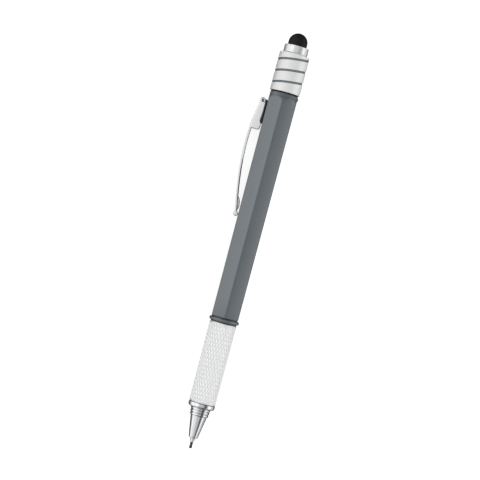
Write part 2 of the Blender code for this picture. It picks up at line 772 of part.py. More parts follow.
def make_cap_sleeve(frame, finish):
    outline = [
        (cap_bore, cap_z),
        (CAP_RADIUS - CAP_EDGE, cap_z),
        (CAP_RADIUS, cap_z + CAP_EDGE),
        (CAP_RADIUS, cap_top_z - CAP_EDGE),
        (CAP_RADIUS - CAP_EDGE, cap_top_z),
        (post_hole, cap_top_z),
        (post_hole, cap_roof_z),
        (cap_bore, cap_roof_z),
    ]
    sleeve = add_piece("cap_sleeve", turned(outline, SPIRAL_STEPS), finish, frame)
    end = SPIRAL_START + SPIRAL_TURNS * math.tau
    groove = wound_bar(
        CAP_RADIUS - SPIRAL_DEPTH,
        CAP_RADIUS + OVERRUN,
        SPIRAL_WIDTH / 2,
        SPIRAL_START,
        end,
        cap_z + SPIRAL_FOOT,
        SPIRAL_LEAD,
        SPIRAL_STEPS,
        SPIRAL_TAPER,
        SPIRAL_TIP_SHARE,
    )
    combine(sleeve, add_helper("spiral_groove", groove, frame), "DIFFERENCE")


def make_cap_bush(frame, finish):
    low = cap_z + SEAT_GAP
    high = cap_z + BUSH_LENGTH
    outline = tube_outline(bush_bore, bush_radius, low, high)
    add_piece("cap_bush", turned(outline, INNER_STEPS), finish, frame)


def make_stylus(frame, collar_finish, post_finish, tip_finish):
    collar = [
        (post_hole, collar_z),
        (COLLAR_RADIUS - COLLAR_EDGE, collar_z),
        (COLLAR_RADIUS, collar_z + COLLAR_EDGE),
        (COLLAR_RADIUS, collar_top_z - COLLAR_EDGE),
        (COLLAR_RADIUS - COLLAR_EDGE, collar_top_z),
        (collar_bore, collar_top_z),
        (collar_bore, collar_z + COLLAR_FLOOR),
        (post_hole, collar_z + COLLAR_FLOOR),
    ]
    add_piece("stylus_collar", turned(collar, LARGE_STEPS), collar_finish, frame)
    head_top = cap_roof_z - SEAT_GAP
    post_top = dome_centre_z + DOME_RADIUS / 4
    post = [
        (0, head_top - POST_HEAD),
        (POST_HEAD_RADIUS, head_top - POST_HEAD),
        (POST_HEAD_RADIUS, head_top),
        (POST_RADIUS, head_top),
        (POST_RADIUS, dome_centre_z - SEAT_GAP),
        (POST_RADIUS * 2 / 3, post_top),
        (0, post_top),
    ]
    add_piece("stylus_post", turned(post, INNER_STEPS), post_finish, frame)
    dome = arc(0, dome_centre_z, DOME_RADIUS, 0, math.pi / 2, 8)
    hollow = arc(0, dome_centre_z, dome_bore, math.pi / 2, 0, 6)
    dome[-1] = (0, dome[-1][1])
    hollow[0] = (0, hollow[0][1])
    outline = hollow + [(dome_bore, dome_z), (DOME_RADIUS, dome_z)] + dome
    add_piece("stylus_tip", turned(outline, LARGE_STEPS), tip_finish, frame)


def sheet_ring(outer, inner, half):
    """One section across the sheet, its four edges broken."""
    way = Vector((inner[0] - outer[0], inner[1] - outer[1]))
    e = CLIP_EDGE / way.length
    a = Vector(outer)
    near = a + way * e
    far = a + way * (1 - e)
    b = Vector(inner)
    points = (
        (a, -half + CLIP_EDGE),
        (a, half - CLIP_EDGE),
        (near, half),
        (far, half),
        (b, half - CLIP_EDGE),
        (b, -half + CLIP_EDGE),
        (far, -half),
        (near, -half),
    )
    return [(p.x, y, p.y) for p, y in points]


def bend_sections(start, end):
    """Sections of the U bend between two angles round the hinge axis."""
    sections = []
    for k in range(BEND_STEPS + 1):
        angle = start + (end - start) * k / BEND_STEPS
        way = Vector((math.cos(angle), math.sin(angle)))
        centre = Vector((hinge_x, hinge_z))
        sections.append((centre + way * CLIP_BEND_RADIUS, centre + way * (CLIP_BEND_RADIUS - CLIP_SHEET)))
    return sections


def arm_sections():
    """Sections down the arm: the outer face from the shares, the inner face square under it."""
    points = [(clip_flat + d * CLIP_STANDOFF, clip_top_z - s * CLIP_LENGTH) for s, d in ARM_SHARES]
    path = smooth_path(points, ARM_PER_SHARE)
    sections = []
    for k, point in enumerate(path):
        before = Vector(path[max(k - 1, 0)])
        after = Vector(path[min(k + 1, len(path) - 1)])
        along = (after - before).normalized()
        inward = Vector((along.y, -along.x))
        if inward.x > 0:
            inward = -inward
        sections.append((Vector(point), Vector(point) + inward * CLIP_SHEET))
    return sections


def arm_half(share):
    """Half width: narrow at the bend, full at the flanges, and tapering to the end."""
    start = CLIP_FLANGE_START / CLIP_LENGTH
    if share < start:
        return CLIP_HALF_WIDTH * (CLIP_NECK_SHARE + (1 - CLIP_NECK_SHARE) * max(0, share / start * 2 - 1))
    full = (CLIP_FLANGE_START + CLIP_FLANGE_LENGTH) / CLIP_LENGTH
    if share < full:
        return CLIP_HALF_WIDTH
    return CLIP_HALF_WIDTH * (1 + (ARM_END_SHARE - 1) * (share - full) / (1 - full))


def make_clip(frame, finish):
    """The outer leaf springs about the bend's centre, where its parent empty stands."""
    hinge = bpy.data.objects.new("clip_hinge", None)
    bpy.context.scene.collection.objects.link(hinge)
    hinge.parent = frame
    hinge.location = (hinge_x, 0, hinge_z)
    to_hinge = Matrix.Translation((-hinge_x, 0, -hinge_z))
    gap_angle = CLIP_FLEX + RADIAL_GAP / CLIP_BEND_RADIUS
    sections = bend_sections(math.pi / 2 - gap_angle, 0)[:-1]
    rings = [sheet_ring(outer, inner, arm_half(0)) for outer, inner in sections]
    arm = arm_sections()
    for outer, inner in arm:
        rings.append(sheet_ring(outer, inner, arm_half((clip_top_z - outer.y) / CLIP_LENGTH)))
    form = lofted(rings)
    form.transform(to_hinge)
    clip = add_piece("pocket_clip", form, finish, hinge)
    for side in (-1, 1):
        low, high = sorted((side * CLIP_HALF_WIDTH, side * (CLIP_HALF_WIDTH - FLANGE_THICKNESS)))
        spine = [flange_point(along, 0) for along, _ in FLANGE_SHARES if along < 1][::-1]
        edge = [flange_point(along, across) for along, across in FLANGE_SHARES]
        outline = list(dict.fromkeys(edge + [flange_point(1, 0)] + spine))
        flange = lofted([[(x, y, z) for x, z in outline] for y in (low, high)])
        flange.transform(to_hinge)
        combine(clip, add_helper(f"clip_flange_{(side + 3) // 2}", flange, hinge), "UNION")
    end_outer, end_inner = arm[-1]
    end_half = CLIP_HALF_WIDTH * ARM_END_SHARE
    foot = bmesh.new()
    bmesh.ops.create_uvsphere(foot, u_segments=SMALL_STEPS, v_segments=SMALL_STEPS // 2, radius=1)
    foot_z = clip_top_z - CLIP_LENGTH + FOOT_ABOVE_END + FOOT_LENGTH / 2
    foot_x = clip_flat + FOOT_GAP + FOOT_HEIGHT
    bmesh.ops.scale(foot, verts=foot.verts, vec=(FOOT_HEIGHT, end_half * FOOT_WIDTH_SHARE, FOOT_LENGTH / 2))
    bmesh.ops.translate(foot, verts=foot.verts, vec=(foot_x, 0, foot_z))
    foot.transform(to_hinge)
    combine(clip, add_helper("clip_foot", foot, hinge), "UNION")
    curl = turned(tube_outline(0, CURL_RADIUS, -end_half, end_half), SMALL_STEPS)
    curl.transform(Matrix.Rotation(math.pi / 2, 4, "X"))
    curl_x = (end_outer.x + end_inner.x) / 2
    curl.transform(Matrix.Translation((curl_x, 0, clip_top_z - CLIP_LENGTH + CURL_RADIUS)))
    curl.transform(to_hinge)
    combine(clip, add_helper("clip_curl", curl, hinge), "UNION")


def flange_point(along, across):
    """A point of the side flange: across runs from the middle of the sheet towards the barrel."""
    height = clip_top_z - CLIP_FLANGE_START - along * CLIP_FLANGE_LENGTH
    share = (clip_top_z - height) / CLIP_LENGTH
    stations = list(ARM_SHARES)
    for (s0, d0), (s1, d1) in zip(stations, stations[1:]):
        if s0 <= share <= s1:
            standoff = d0 + (d1 - d0) * (share - s0) / (s1 - s0)
    sheet = clip_flat + standoff * CLIP_STANDOFF - CLIP_SHEET / 2
    return (sheet - across * FLANGE_DEPTH, height)


def make_clip_tongue(frame, finish):
    """The inner leaf: half the bend, down the barrel's flat, and a hook into its slot."""
    bend = bend_sections(math.pi / 2, math.pi)
    rings = [sheet_ring(outer, inner, tongue_half) for outer, inner in bend]
    foot_outer = Vector((hinge_x - CLIP_BEND_RADIUS, hook_z + CLIP_SHEET))
    foot_inner = Vector((hinge_x - CLIP_BEND_RADIUS + CLIP_SHEET, hook_z + CLIP_SHEET))
    rings.append(sheet_ring(foot_outer, foot_inner, tongue_half))
    rings.append(sheet_ring((foot_outer.x, hook_z), (foot_inner.x, hook_z - HOOK_THICKNESS), tongue_half))
    reach = barrel_bore + RADIAL_GAP
    rings.append(sheet_ring((reach, hook_z), (reach, hook_z - HOOK_THICKNESS), tongue_half))
    add_piece("clip_tongue", lofted(rings), finish, frame)


def make_pen():
    clear_scene()
    frame = make_frame()
    gunmetal = material("gunmetal_paint", (0.19, 0.21, 0.225), 0.38, 0.55)
    silver = material("brushed_silver", (0.80, 0.80, 0.80), 0.34, 1.0)
    knurl = material("knurled_silver", (0.88, 0.88, 0.88), 0.30, 1.0)
    chrome = material("polished_chrome", (0.82, 0.83, 0.84), 0.10, 1.0)
    brass = material("turned_brass", (0.70, 0.52, 0.25), 0.32, 1.0)
    steel = material("dark_steel", (0.42, 0.43, 0.44), 0.30, 1.0)
    black = material("black_plastic", (0.03, 0.03, 0.032), 0.45, 0.0)
    white = material("white_plastic", (0.75, 0.74, 0.72), 0.45, 0.0)
    rubber = material("black_rubber", (0.02, 0.02, 0.02), 0.70, 0.0)
    make_barrel(frame, gunmetal)
    make_barrel_end_ring(frame, gunmetal)
    make_friction_ring(frame, rubber)
    make_cam_tube(frame, brass)
    make_bit_holder(frame, black)
    make_driver_bit(frame, steel)
    make_clip_tongue(frame, chrome)
    make_clip(frame, chrome)
    make_cap_seal(frame, rubber)
    make_cap_sleeve(frame, silver)
    make_cap_bush(frame, black)
    make_stylus(frame, silver, black, rubber)
    make_grip(frame, knurl)
    make_nose_cone(frame, chrome)
    make_cam_rotor(frame, brass)
    make_retaining_ring(frame, steel)
    make_refill_carrier(frame, white)
    make_follower_pin(frame, steel)
    make_refill(frame, brass, chrome, steel)


make_pen()
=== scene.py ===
import json
from math import asin, atan2, cos, pi, radians, sin, sqrt, tau

import bmesh
import bpy
from mathutils import Matrix, Vector


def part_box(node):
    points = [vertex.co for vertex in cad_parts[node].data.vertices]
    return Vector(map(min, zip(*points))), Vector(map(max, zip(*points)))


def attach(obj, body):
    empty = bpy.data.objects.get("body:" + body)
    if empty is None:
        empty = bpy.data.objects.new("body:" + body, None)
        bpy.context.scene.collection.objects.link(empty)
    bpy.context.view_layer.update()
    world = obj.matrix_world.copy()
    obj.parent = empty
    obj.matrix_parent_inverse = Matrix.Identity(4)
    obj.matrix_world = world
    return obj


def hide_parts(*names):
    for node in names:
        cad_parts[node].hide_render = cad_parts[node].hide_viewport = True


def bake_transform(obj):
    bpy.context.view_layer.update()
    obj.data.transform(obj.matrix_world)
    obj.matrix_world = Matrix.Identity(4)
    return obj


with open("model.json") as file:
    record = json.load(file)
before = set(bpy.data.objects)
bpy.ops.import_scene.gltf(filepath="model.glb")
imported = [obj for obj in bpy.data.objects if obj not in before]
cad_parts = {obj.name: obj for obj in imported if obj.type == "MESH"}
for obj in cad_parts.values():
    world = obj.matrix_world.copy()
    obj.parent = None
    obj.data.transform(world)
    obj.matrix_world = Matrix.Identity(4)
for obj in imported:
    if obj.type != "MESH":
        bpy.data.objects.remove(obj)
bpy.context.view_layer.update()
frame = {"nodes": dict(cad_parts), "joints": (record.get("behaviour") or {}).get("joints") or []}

# A multi tool pen: a twist-action ballpoint with a sprung pocket clip, and a stylus cap over a screwdriver
# bit. Every piece is drawn in the pen's own frame, with X towards the clip, Y towards the viewer and Z along
# the pen from the ball. Its mesh is then laid down where the CAD model lies, rolled over on its clip.
clip_hinge = next(joint for joint in frame["joints"] if joint["name"] == "clip_flex")
viewer_way = -Vector(clip_hinge["axis"]).normalized()
pen_way = Vector((1, 0, 0))
clip_way = viewer_way.cross(pen_way)
cap_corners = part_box("cap_sleeve")
ball_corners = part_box("writing_ball")
pen_foot = Vector((ball_corners[0].x, *((cap_corners[0] + cap_corners[1]) / 2).yz))
lay_down = Matrix((clip_way, viewer_way, pen_way)).transposed().to_4x4()
lay_down.translation = pen_foot
pick_up = lay_down.inverted()


def span(node):
    """Where a CAD node starts and ends along the pen, measured from the ball."""
    low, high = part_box(node)
    return low.x - pen_foot.x, high.x - pen_foot.x


# Hexagonal barrel. An injection-moulded tube, tapered to the grip, with rounded corners that run out under a
# flared round lip. It is sprayed in a gunmetal lacquer with fine metal flake, under a satin clear coat.
BARREL_LOWER_FLAT = 0.00473
BARREL_UPPER_FLAT = 0.00496
BARREL_CORNER = 0.0007
BARREL_CROWN = 0.036
BARREL_BORE = 0.0038
BARREL_EDGE = 0.00014
BARREL_RINGS = 24
RING_BUNCHING = 2.2
CORNER_RUNOUT = 0.0021
CORNER_REACH = 0.0056
RUNOUT_CURVE = 1.6
LIP_FLAT = 0.0049
CLIP_SLOT = ((0.0032, -0.00145, 0.11594), (0.0056, 0.00145, 0.11693))
WELD = 0.0000005
# Colours that come in pairs go from the darker to the lighter
LACQUER = ((0.143, 0.160, 0.173, 1), (0.181, 0.201, 0.215, 1))

# The lip's outline, from its foot up: radius and rise
LIP_PROFILE = (
    (0.00501, 0.00008), (0.00518, 0.00022), (0.00522, 0.00034), (0.00530, 0.00048), (0.00526, 0.00060),
    (0.00503, 0.00104), (0.00495, 0.00124), (0.00489, 0.00137), (0.00477, 0.00142), (0.00465, 0.00150),
)


class Field:
    """A socket of a node tree. Python's operators on it add Math nodes, and node() adds any other."""

    def __init__(self, tree, socket=None):
        self.tree = tree
        self.socket = socket

    def node(self, kind, sockets=None, settings=None, output=0):
        made = self.tree.nodes.new(kind)
        for name, value in (settings or {}).items():
            if name == "stops":
                for position, grey in value:
                    made.color_ramp.elements.new(position).color = (grey, grey, grey, 1)
            else:
                setattr(made, name, value)
        for name, value in (sockets or {}).items():
            if isinstance(value, Field):
                self.tree.links.new(value.socket, made.inputs[name])
            else:
                made.inputs[name].default_value = value
        return Field(self.tree, made.outputs[output])

    def math(self, operation, *values):
        return self.node("ShaderNodeMath", dict(enumerate(values)), {"operation": operation})

    def __add__(self, other):
        return self.math("ADD", self, other)

    def __sub__(self, other):
        return self.math("SUBTRACT", self, other)

    def __rsub__(self, other):
        return self.math("SUBTRACT", other, self)

    def __mul__(self, other):
        return self.math("MULTIPLY", self, other)

    def __truediv__(self, other):
        return self.math("DIVIDE", self, other)

    def __rtruediv__(self, other):
        return self.math("DIVIDE", other, self)

    __radd__ = __add__
    __rmul__ = __mul__

    def clamped(self, low, high):
        """0 at low and 1 at high, straight between."""
        return self.node("ShaderNodeMapRange", {"Value": self, "From Min": low, "From Max": high})

    def blend(self, first, second):
        """The first colour at 0, the second at 1."""
        return self.node("ShaderNodeMix", {0: self, 6: first, 7: second}, {"data_type": "RGBA"}, output=2)

    def relief(self, depth):
        """Bumps of this depth in metres, where the field goes from 0 to 1."""
        return self.node("ShaderNodeBump", {"Height": self, "Distance": depth})


def new_finish(name, settings):
    """A material with the plain settings of its shader, and the start of its node tree."""
    finish = bpy.data.materials.new(name)
    finish.use_nodes = True
    for socket, value in settings.items():
        finish.node_tree.nodes["Principled BSDF"].inputs[socket].default_value = value
    return finish, Field(finish.node_tree)


def feed(finish, fields):
    """Links what varies over the surface to the shader, and gives the finish back."""
    shader = finish.node_tree.nodes["Principled BSDF"]
    for socket, field in fields.items():
        finish.node_tree.links.new(field.socket, shader.inputs[socket])
    return finish


def grain(start, along, across, detail=2, centre=(0, 0, 0)):
    """Noise from 0 to 1 with so many spots a metre along the pen and across it."""
    place = start.node("ShaderNodeTexCoord", output="Object")
    stretch = {"Vector": place, "Location": centre, "Scale": (along, across, across)}
    mapped = start.node("ShaderNodeMapping", stretch)
    return start.node("ShaderNodeTexNoise", {"Vector": mapped, "Scale": 1, "Detail": detail})


def lacquer_finish():
    finish, start = new_finish("gunmetal_lacquer", {"Coat Roughness": 0.28, "IOR": 1.5})
    flake = grain(start, 9000, 9000, 3)
    cloud = grain(start, 90, 260, 3)
    tone = flake * 0.75 + cloud * 0.45 - 0.1
    peel = grain(start, 1300, 1300, 1)
    return feed(finish, {
        "Base Color": tone.blend(*LACQUER),
        "Metallic": 0.42 + flake * 0.3,
        "Roughness": 0.36 + cloud * 0.1,
        "Coat Weight": 0.25 + cloud * 0.2,
        "Normal": (peel * 0.7 + flake * 0.3).relief(0.000002),
    })


def heading(angle):
    """One step in this direction, in a section across the pen."""
    return Vector((cos(angle), sin(angle), 0))


def mixed(first, last, share):
    """The value that is so far on the way from the first to the last."""
    return first + (last - first) * share


def ring(radius, height, angles):
    return [(radius * cos(a), radius * sin(a), height) for a in angles]


def hexagon(flat, corner, height, corner_steps=8, flat_steps=8, crown=1.0):
    """A hexagon with round corners, one of them towards the viewer; flat is half its width across flats.
    Its sides are wide arcs, of the crown's radius."""
    sixth = pi / 6
    swing = sixth - asin((crown - flat) / (crown - corner) / 2)
    points = []
    for side in range(6):
        facing = side * pi / 3
        middle = heading(facing) * (flat - crown) + Vector((0, 0, height))
        for k in range(flat_steps + 1):
            points.append(middle + heading(facing + swing * (k / flat_steps * 2 - 1)) * crown)
        centre = middle + (points[-1] - middle) * (1 - corner / crown)
        for k in range(1, corner_steps):
            angle = facing + sixth + (sixth - swing) * (k / corner_steps * 2 - 1)
            points.append(centre + heading(angle) * corner)
    return points


def lofted(rings, closed_round=False):
    """Joins rings of equal count. The ends are filled, unless the last ring joins the first."""
    form = bmesh.new()
    rows = [[form.verts.new(point) for point in points] for points in rings]
    pairs = list(zip(rows, rows[1:]))
    if closed_round:
        pairs.append((rows[-1], rows[0]))
    for lower, upper in pairs:
        for k in range(len(lower)):
            j = (k + 1) % len(lower)
            form.faces.new((lower[k], lower[j], upper[j], upper[k]))
    if not closed_round:
        form.faces.new(rows[0][::-1])
        form.faces.new(rows[-1])
    return form


def smooth_faces(mesh, sharp):
    """Round faces look smooth, and edges sharper than this angle stay edges."""
    mesh.shade_smooth()
    mesh.set_sharp_from_angle(angle=radians(sharp))


def placed(name, data):
    """A new object, put in the scene."""
    made = bpy.data.objects.new(name, data)
    bpy.context.scene.collection.objects.link(made)
    return made


def finished_piece(name, form, finish, sharp=32, place=lay_down):
    """A mesh object from a form in the pen's frame: welded, with its faces out, and laid in place."""
    bmesh.ops.remove_doubles(form, verts=form.verts, dist=WELD)
    bmesh.ops.recalc_face_normals(form, faces=form.faces)
    mesh = bpy.data.meshes.new(name)
    form.to_mesh(mesh)
    form.free()
    mesh.transform(place)
    mesh.materials.append(finish)
    smooth_faces(mesh, sharp)
    return placed(name, mesh)


def settle(piece, sharp=32):
    """Turns the piece's modifiers into a plain mesh."""
    bpy.context.view_layer.update()
    evaluated = piece.evaluated_get(bpy.context.evaluated_depsgraph_get())
    mesh = bpy.data.meshes.new_from_object(evaluated)
    piece.modifiers.clear()
    piece.data = mesh
    form = bmesh.new()
    form.from_mesh(mesh)
    bmesh.ops.recalc_face_normals(form, faces=form.faces)
    form.to_mesh(mesh)
    form.free()
    smooth_faces(mesh, sharp)


def cut(piece, cutters, operation="DIFFERENCE"):
    """Cuts the piece with each cutter, or joins them to it, and throws the cutters away."""
    for cutter in cutters:
        modifier = piece.modifiers.new(cutter.name, "BOOLEAN")
        modifier.operation = operation
        modifier.object = cutter
        modifier.material_mode = "TRANSFER"
    settle(piece)
    for cutter in cutters:
        bpy.data.objects.remove(cutter)


def box_form(low, high):
    sides = ((0, 0), (1, 0), (1, 1), (0, 1))
    ends = (low, high)
    return lofted([[(ends[i][0], ends[j][1], end[2]) for i, j in sides] for end in ends])


def barrel_section(flat, height):
    return hexagon(flat, BARREL_CORNER, height, crown=BARREL_CROWN)


lacquer = lacquer_finish()
barrel_low, barrel_high = span("hex_barrel")
lip_low = barrel_high - LIP_PROFILE[-1][1]
runout_low = lip_low - CORNER_RUNOUT
edge_high = barrel_low + BARREL_EDGE
polar = [atan2(point.y, point.x) for point in barrel_section(BARREL_UPPER_FLAT, 0)]
barrel_rings = [ring(BARREL_BORE, barrel_low, polar)]
for inset_share, rise_share in ((1, 0), (0.3, 0.3)):
    flat = BARREL_LOWER_FLAT - BARREL_EDGE * inset_share
    barrel_rings.append(barrel_section(flat, barrel_low + BARREL_EDGE * rise_share))
for k in range(BARREL_RINGS + 1):
    height = mixed(edge_high, lip_low, 1 - (1 - k / BARREL_RINGS) ** RING_BUNCHING)
    flat = mixed(BARREL_LOWER_FLAT, BARREL_UPPER_FLAT, (height - barrel_low) / (barrel_high - barrel_low))
    faded = max(0, (height - runout_low) / CORNER_RUNOUT)
    limit = mixed(CORNER_REACH, flat, faded**RUNOUT_CURVE)
    points = barrel_section(flat, height)
    for point in points:
        point.xy *= min(1, limit / point.xy.length)
    barrel_rings.append(points)
for radius, rise in LIP_PROFILE:
    barrel_rings.append([(min(x, LIP_FLAT), y, z) for x, y, z in ring(radius, lip_low + rise, polar)])
barrel_rings.append(ring(BARREL_BORE, barrel_high, polar))
barrel = finished_piece("barrel_shell", lofted(barrel_rings, closed_round=True), lacquer, sharp=50)
cut(barrel, [finished_piece("clip_slot", box_form(*CLIP_SLOT), lacquer)])
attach(barrel, "barrel")
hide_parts("hex_barrel")

# Bead ring. A turned brass ring in the same lacquer closes the barrel's lower end: a full round bead outside,
# recesses above and below it that are painted dark as painted shade, and inside a bush that the twist
# mechanism runs in.
BEAD_RADIUS = 0.00534
BEAD_NECK = 0.00037
BEAD_NECK_RADIUS = 0.0046
BEAD_GAP = 0.00004
MECHANISM_BORE = 0.003
MECHANISM_RADIUS = 0.0037
TURN_STEPS = 144
ROUNDED_SHARE = 0.45
SLIGHT_BEND = radians(150)
DARK_STEEL_AND_SHADE = ((0.06, 0.06, 0.063, 1), (0.10, 0.10, 0.105, 1))


def arc(centre, radius, first, last, steps):
    """Points of an arc in an outline of (radius, height) points; the angles are in degrees."""
    angles = [radians(mixed(first, last, k / steps)) for k in range(steps + 1)]
    return [(centre[0] + radius * cos(a), centre[1] + radius * sin(a)) for a in angles]


def softened(outline, radius, steps=3, closed=True):
    """The outline with its corners rounded. Corners on the axis, slight bends and open ends stay."""
    points = []
    for k, corner in enumerate(outline):
        here = Vector(corner)
        before = Vector(outline[k - 1]) - here
        after = Vector(outline[(k + 1) % len(outline)]) - here
        open_end = not closed and k in (0, len(outline) - 1)
        if open_end or here.x == 0 or before.angle(after) > SLIGHT_BEND:
            points.append(corner)
            continue
        leaves = here + before.normalized() * min(radius, before.length * ROUNDED_SHARE)
        meets = here + after.normalized() * min(radius, after.length * ROUNDED_SHARE)
        for j in range(steps + 1):
            t = j / steps
            points.append(tuple(leaves * (1 - t) ** 2 + here * 2 * t * (1 - t) + meets * t**2))
    return points


def turned(outline, steps=TURN_STEPS):
    """Turns a closed outline of (radius, height) points round the pen's axis."""
    form = bmesh.new()
    angles = [tau * k / steps for k in range(steps)]
    rows = []
    for radius, height in outline:
        points = [(0, 0, height)] if radius == 0 else ring(radius, height, angles)
        rows.append([form.verts.new(point) for point in points])
    for lower, upper in zip(rows, rows[1:] + rows[:1]):
        if len(lower) == 1 and len(upper) == 1:
            continue
        for k in range(steps):
            j = (k + 1) % steps
            quad = [row[n % len(row)] for row, n in ((lower, k), (lower, j), (upper, j), (upper, k))]
            form.faces.new(list(dict.fromkeys(quad)))
    return form


def turned_metal(name, colours, roughness, lines=9000):
    """Metal with the fine rings that a lathe leaves."""
    finish, start = new_finish(name, {"Metallic": 1})
    rings = grain(start, lines, 120, 2, pen_foot * -120)
    cloud = grain(start, 300, 300, 3)
    return feed(finish, {
        "Base Color": (rings * 0.6 + cloud * 0.5).blend(*colours),
        "Roughness": roughness + rings * 0.1 + cloud * 0.06,
        "Normal": rings.relief(0.0000015),
    })


def finish_faces(piece, finish, chosen):
    """Gives faces another finish, by their middle in the pen's frame and their normal."""
    piece.data.materials.append(finish)
    for face in piece.data.polygons:
        if chosen(pick_up @ face.center, face.normal):
            face.material_index = len(piece.data.materials) - 1


# Dark steel for the point's tip, also used as painted shade on the bead's recesses, the clip's leaf and the
# curl's edge
dark_steel_and_shade = turned_metal("dark_steel_and_painted_shade", DARK_STEEL_AND_SHADE, 0.36, lines=5000)
bead_low, bush_high = span("barrel_end_ring")
bead_middle = (barrel_low + bead_low) / 2
bead_round = bead_middle - bead_low - BEAD_NECK
bead_outline = [
    (MECHANISM_BORE, bead_low),
    (BEAD_NECK_RADIUS, bead_low),
    (BEAD_NECK_RADIUS, bead_middle - bead_round),
    *arc((BEAD_RADIUS - bead_round, bead_middle), bead_round, -90, 90, 24),
    (BEAD_NECK_RADIUS, bead_middle + bead_round),
    (BEAD_NECK_RADIUS, barrel_low - BEAD_GAP),
    (MECHANISM_RADIUS, barrel_low - BEAD_GAP),
    (MECHANISM_RADIUS, bush_high),
    (MECHANISM_BORE, bush_high),
]
bead = finished_piece("bead_ring", turned(bead_outline), lacquer)
# The recesses beside the bead take the dark steel: painted shade in the gaps
finish_faces(bead, dark_steel_and_shade, lambda place, normal: place.xy.length < BEAD_RADIUS - bead_round)
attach(bead, "barrel")
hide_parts("barrel_end_ring")

# Twist mechanism. A brass tube with a helical slot sits fixed in the barrel, a brass rotor with a straight
# slot turns in it with the grip, and a steel pin through both slots carries the refill in and out.
BRASS = ((0.58, 0.41, 0.19, 1), (0.72, 0.53, 0.25, 1))
STEEL = ((0.33, 0.335, 0.345, 1), (0.46, 0.47, 0.48, 1))
WHITE_PLASTIC = ((0.70, 0.69, 0.66, 1), (0.78, 0.77, 0.74, 1))
BLACK_PLASTIC = ((0.022, 0.022, 0.024, 1), (0.034, 0.034, 0.036, 1))
BLACK_RUBBER = ((0.006, 0.006, 0.006, 1), (0.011, 0.011, 0.0115, 1))


def moulded(name, colours, roughness, spots=5200, depth=0.000003, gloss=0.5):
    """Plastic or rubber with the fine grain of its mould."""
    finish, start = new_finish(name, {"IOR": 1.48, "Specular IOR Level": gloss})
    spark = grain(start, spots, spots, 2)
    cloud = grain(start, 240, 240, 3)
    return feed(finish, {
        "Base Color": (spark * 0.5 + cloud * 0.5).blend(*colours),
        "Roughness": roughness + cloud * 0.12,
        "Normal": spark.relief(depth),
    })


def refinish(node, finish):
    """A CAD node keeps its shape and takes a finish."""
    piece = frame["nodes"][node]
    piece.data.materials.clear()
    piece.data.materials.append(finish)


brass = turned_metal("turned_brass", BRASS, 0.22)
steel = turned_metal("dark_steel", STEEL, 0.26, lines=5000)
white_plastic = moulded("white_moulding", WHITE_PLASTIC, 0.4)
black_plastic = moulded("black_moulding", BLACK_PLASTIC, 0.36)
rubber = moulded("black_rubber", BLACK_RUBBER, 0.5, spots=3400, depth=0.000006, gloss=0.22)
refinish("cam_tube", brass)
refinish("cam_rotor", brass)
refinish("friction_ring", rubber)
refinish("retaining_ring", steel)
refinish("follower_pin", steel)
refinish("refill_carrier", white_plastic)
refinish("refill_tube", brass)

# Refill point and ball. A stepped nickel-silver point, its rim rolled over a hard metal ball that is free to
# turn in it; both stand out of the nose when the pen is set to write.
POINT_RIM_RADIUS = 0.00052
POINT_NECK_RADIUS = 0.00043
POINT_BODY_RADIUS = 0.001175
POINT_NECK_LENGTH = 0.0022
POINT_TAPER = 0.0018
POINT_SPIGOT_RADIUS = 0.000945
POINT_FILLET = 0.0002
BALL_RADIUS = 0.0004
CHROME = ((0.76, 0.77, 0.785, 1), (0.86, 0.87, 0.88, 1))


def polished(name, colours, roughness, metallic=1.0):
    """Bright plating with a faint haze and hair lines."""
    finish, start = new_finish(name, {"Metallic": metallic})
    haze = grain(start, 500, 500, 4)
    lines = grain(start, 700, 12000, 2)
    return feed(finish, {
        "Base Color": haze.blend(*colours),
        "Roughness": roughness + haze * 0.05 + lines * 0.03,
        "Normal": lines.relief(0.0000004),
    })


chrome = polished("polished_chrome", CHROME, 0.05)
point_low, point_high = span("refill_point")
neck_top = point_low + POINT_NECK_LENGTH
tube_low = span("refill_tube")[0]
point_socket = [
    (0, BALL_RADIUS * 2.1),
    (BALL_RADIUS * 1.06, BALL_RADIUS * 1.2),
    (BALL_RADIUS * 0.98, point_low),
]
point_side = [
    (BALL_RADIUS * 1.06, point_low),
    (POINT_RIM_RADIUS, point_low + BALL_RADIUS * 0.7),
    (POINT_RIM_RADIUS, point_low + BALL_RADIUS * 1.6),
    (POINT_NECK_RADIUS, point_low + BALL_RADIUS * 2.3),
    (POINT_RIM_RADIUS, neck_top),
    (POINT_BODY_RADIUS, neck_top + POINT_TAPER),
    (POINT_BODY_RADIUS, tube_low),
    (POINT_SPIGOT_RADIUS, tube_low),
    (POINT_SPIGOT_RADIUS, point_high),
]
point_outline = point_socket + softened(point_side, POINT_FILLET, closed=False) + [(0, point_high)]
point = finished_piece("point", turned(point_outline, steps=72), chrome)
finish_faces(point, dark_steel_and_shade, lambda place, normal: place.z < neck_top)
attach(point, "refill")
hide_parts("refill_point")

ball_outline = arc((0, BALL_RADIUS), BALL_RADIUS, -90, 90, 24)
ball_outline[0] = (0, 0)
ball_outline[-1] = (0, BALL_RADIUS * 2)
ball = finished_piece("ball", turned(ball_outline, steps=48), steel)
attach(ball, "refill")
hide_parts("writing_ball")

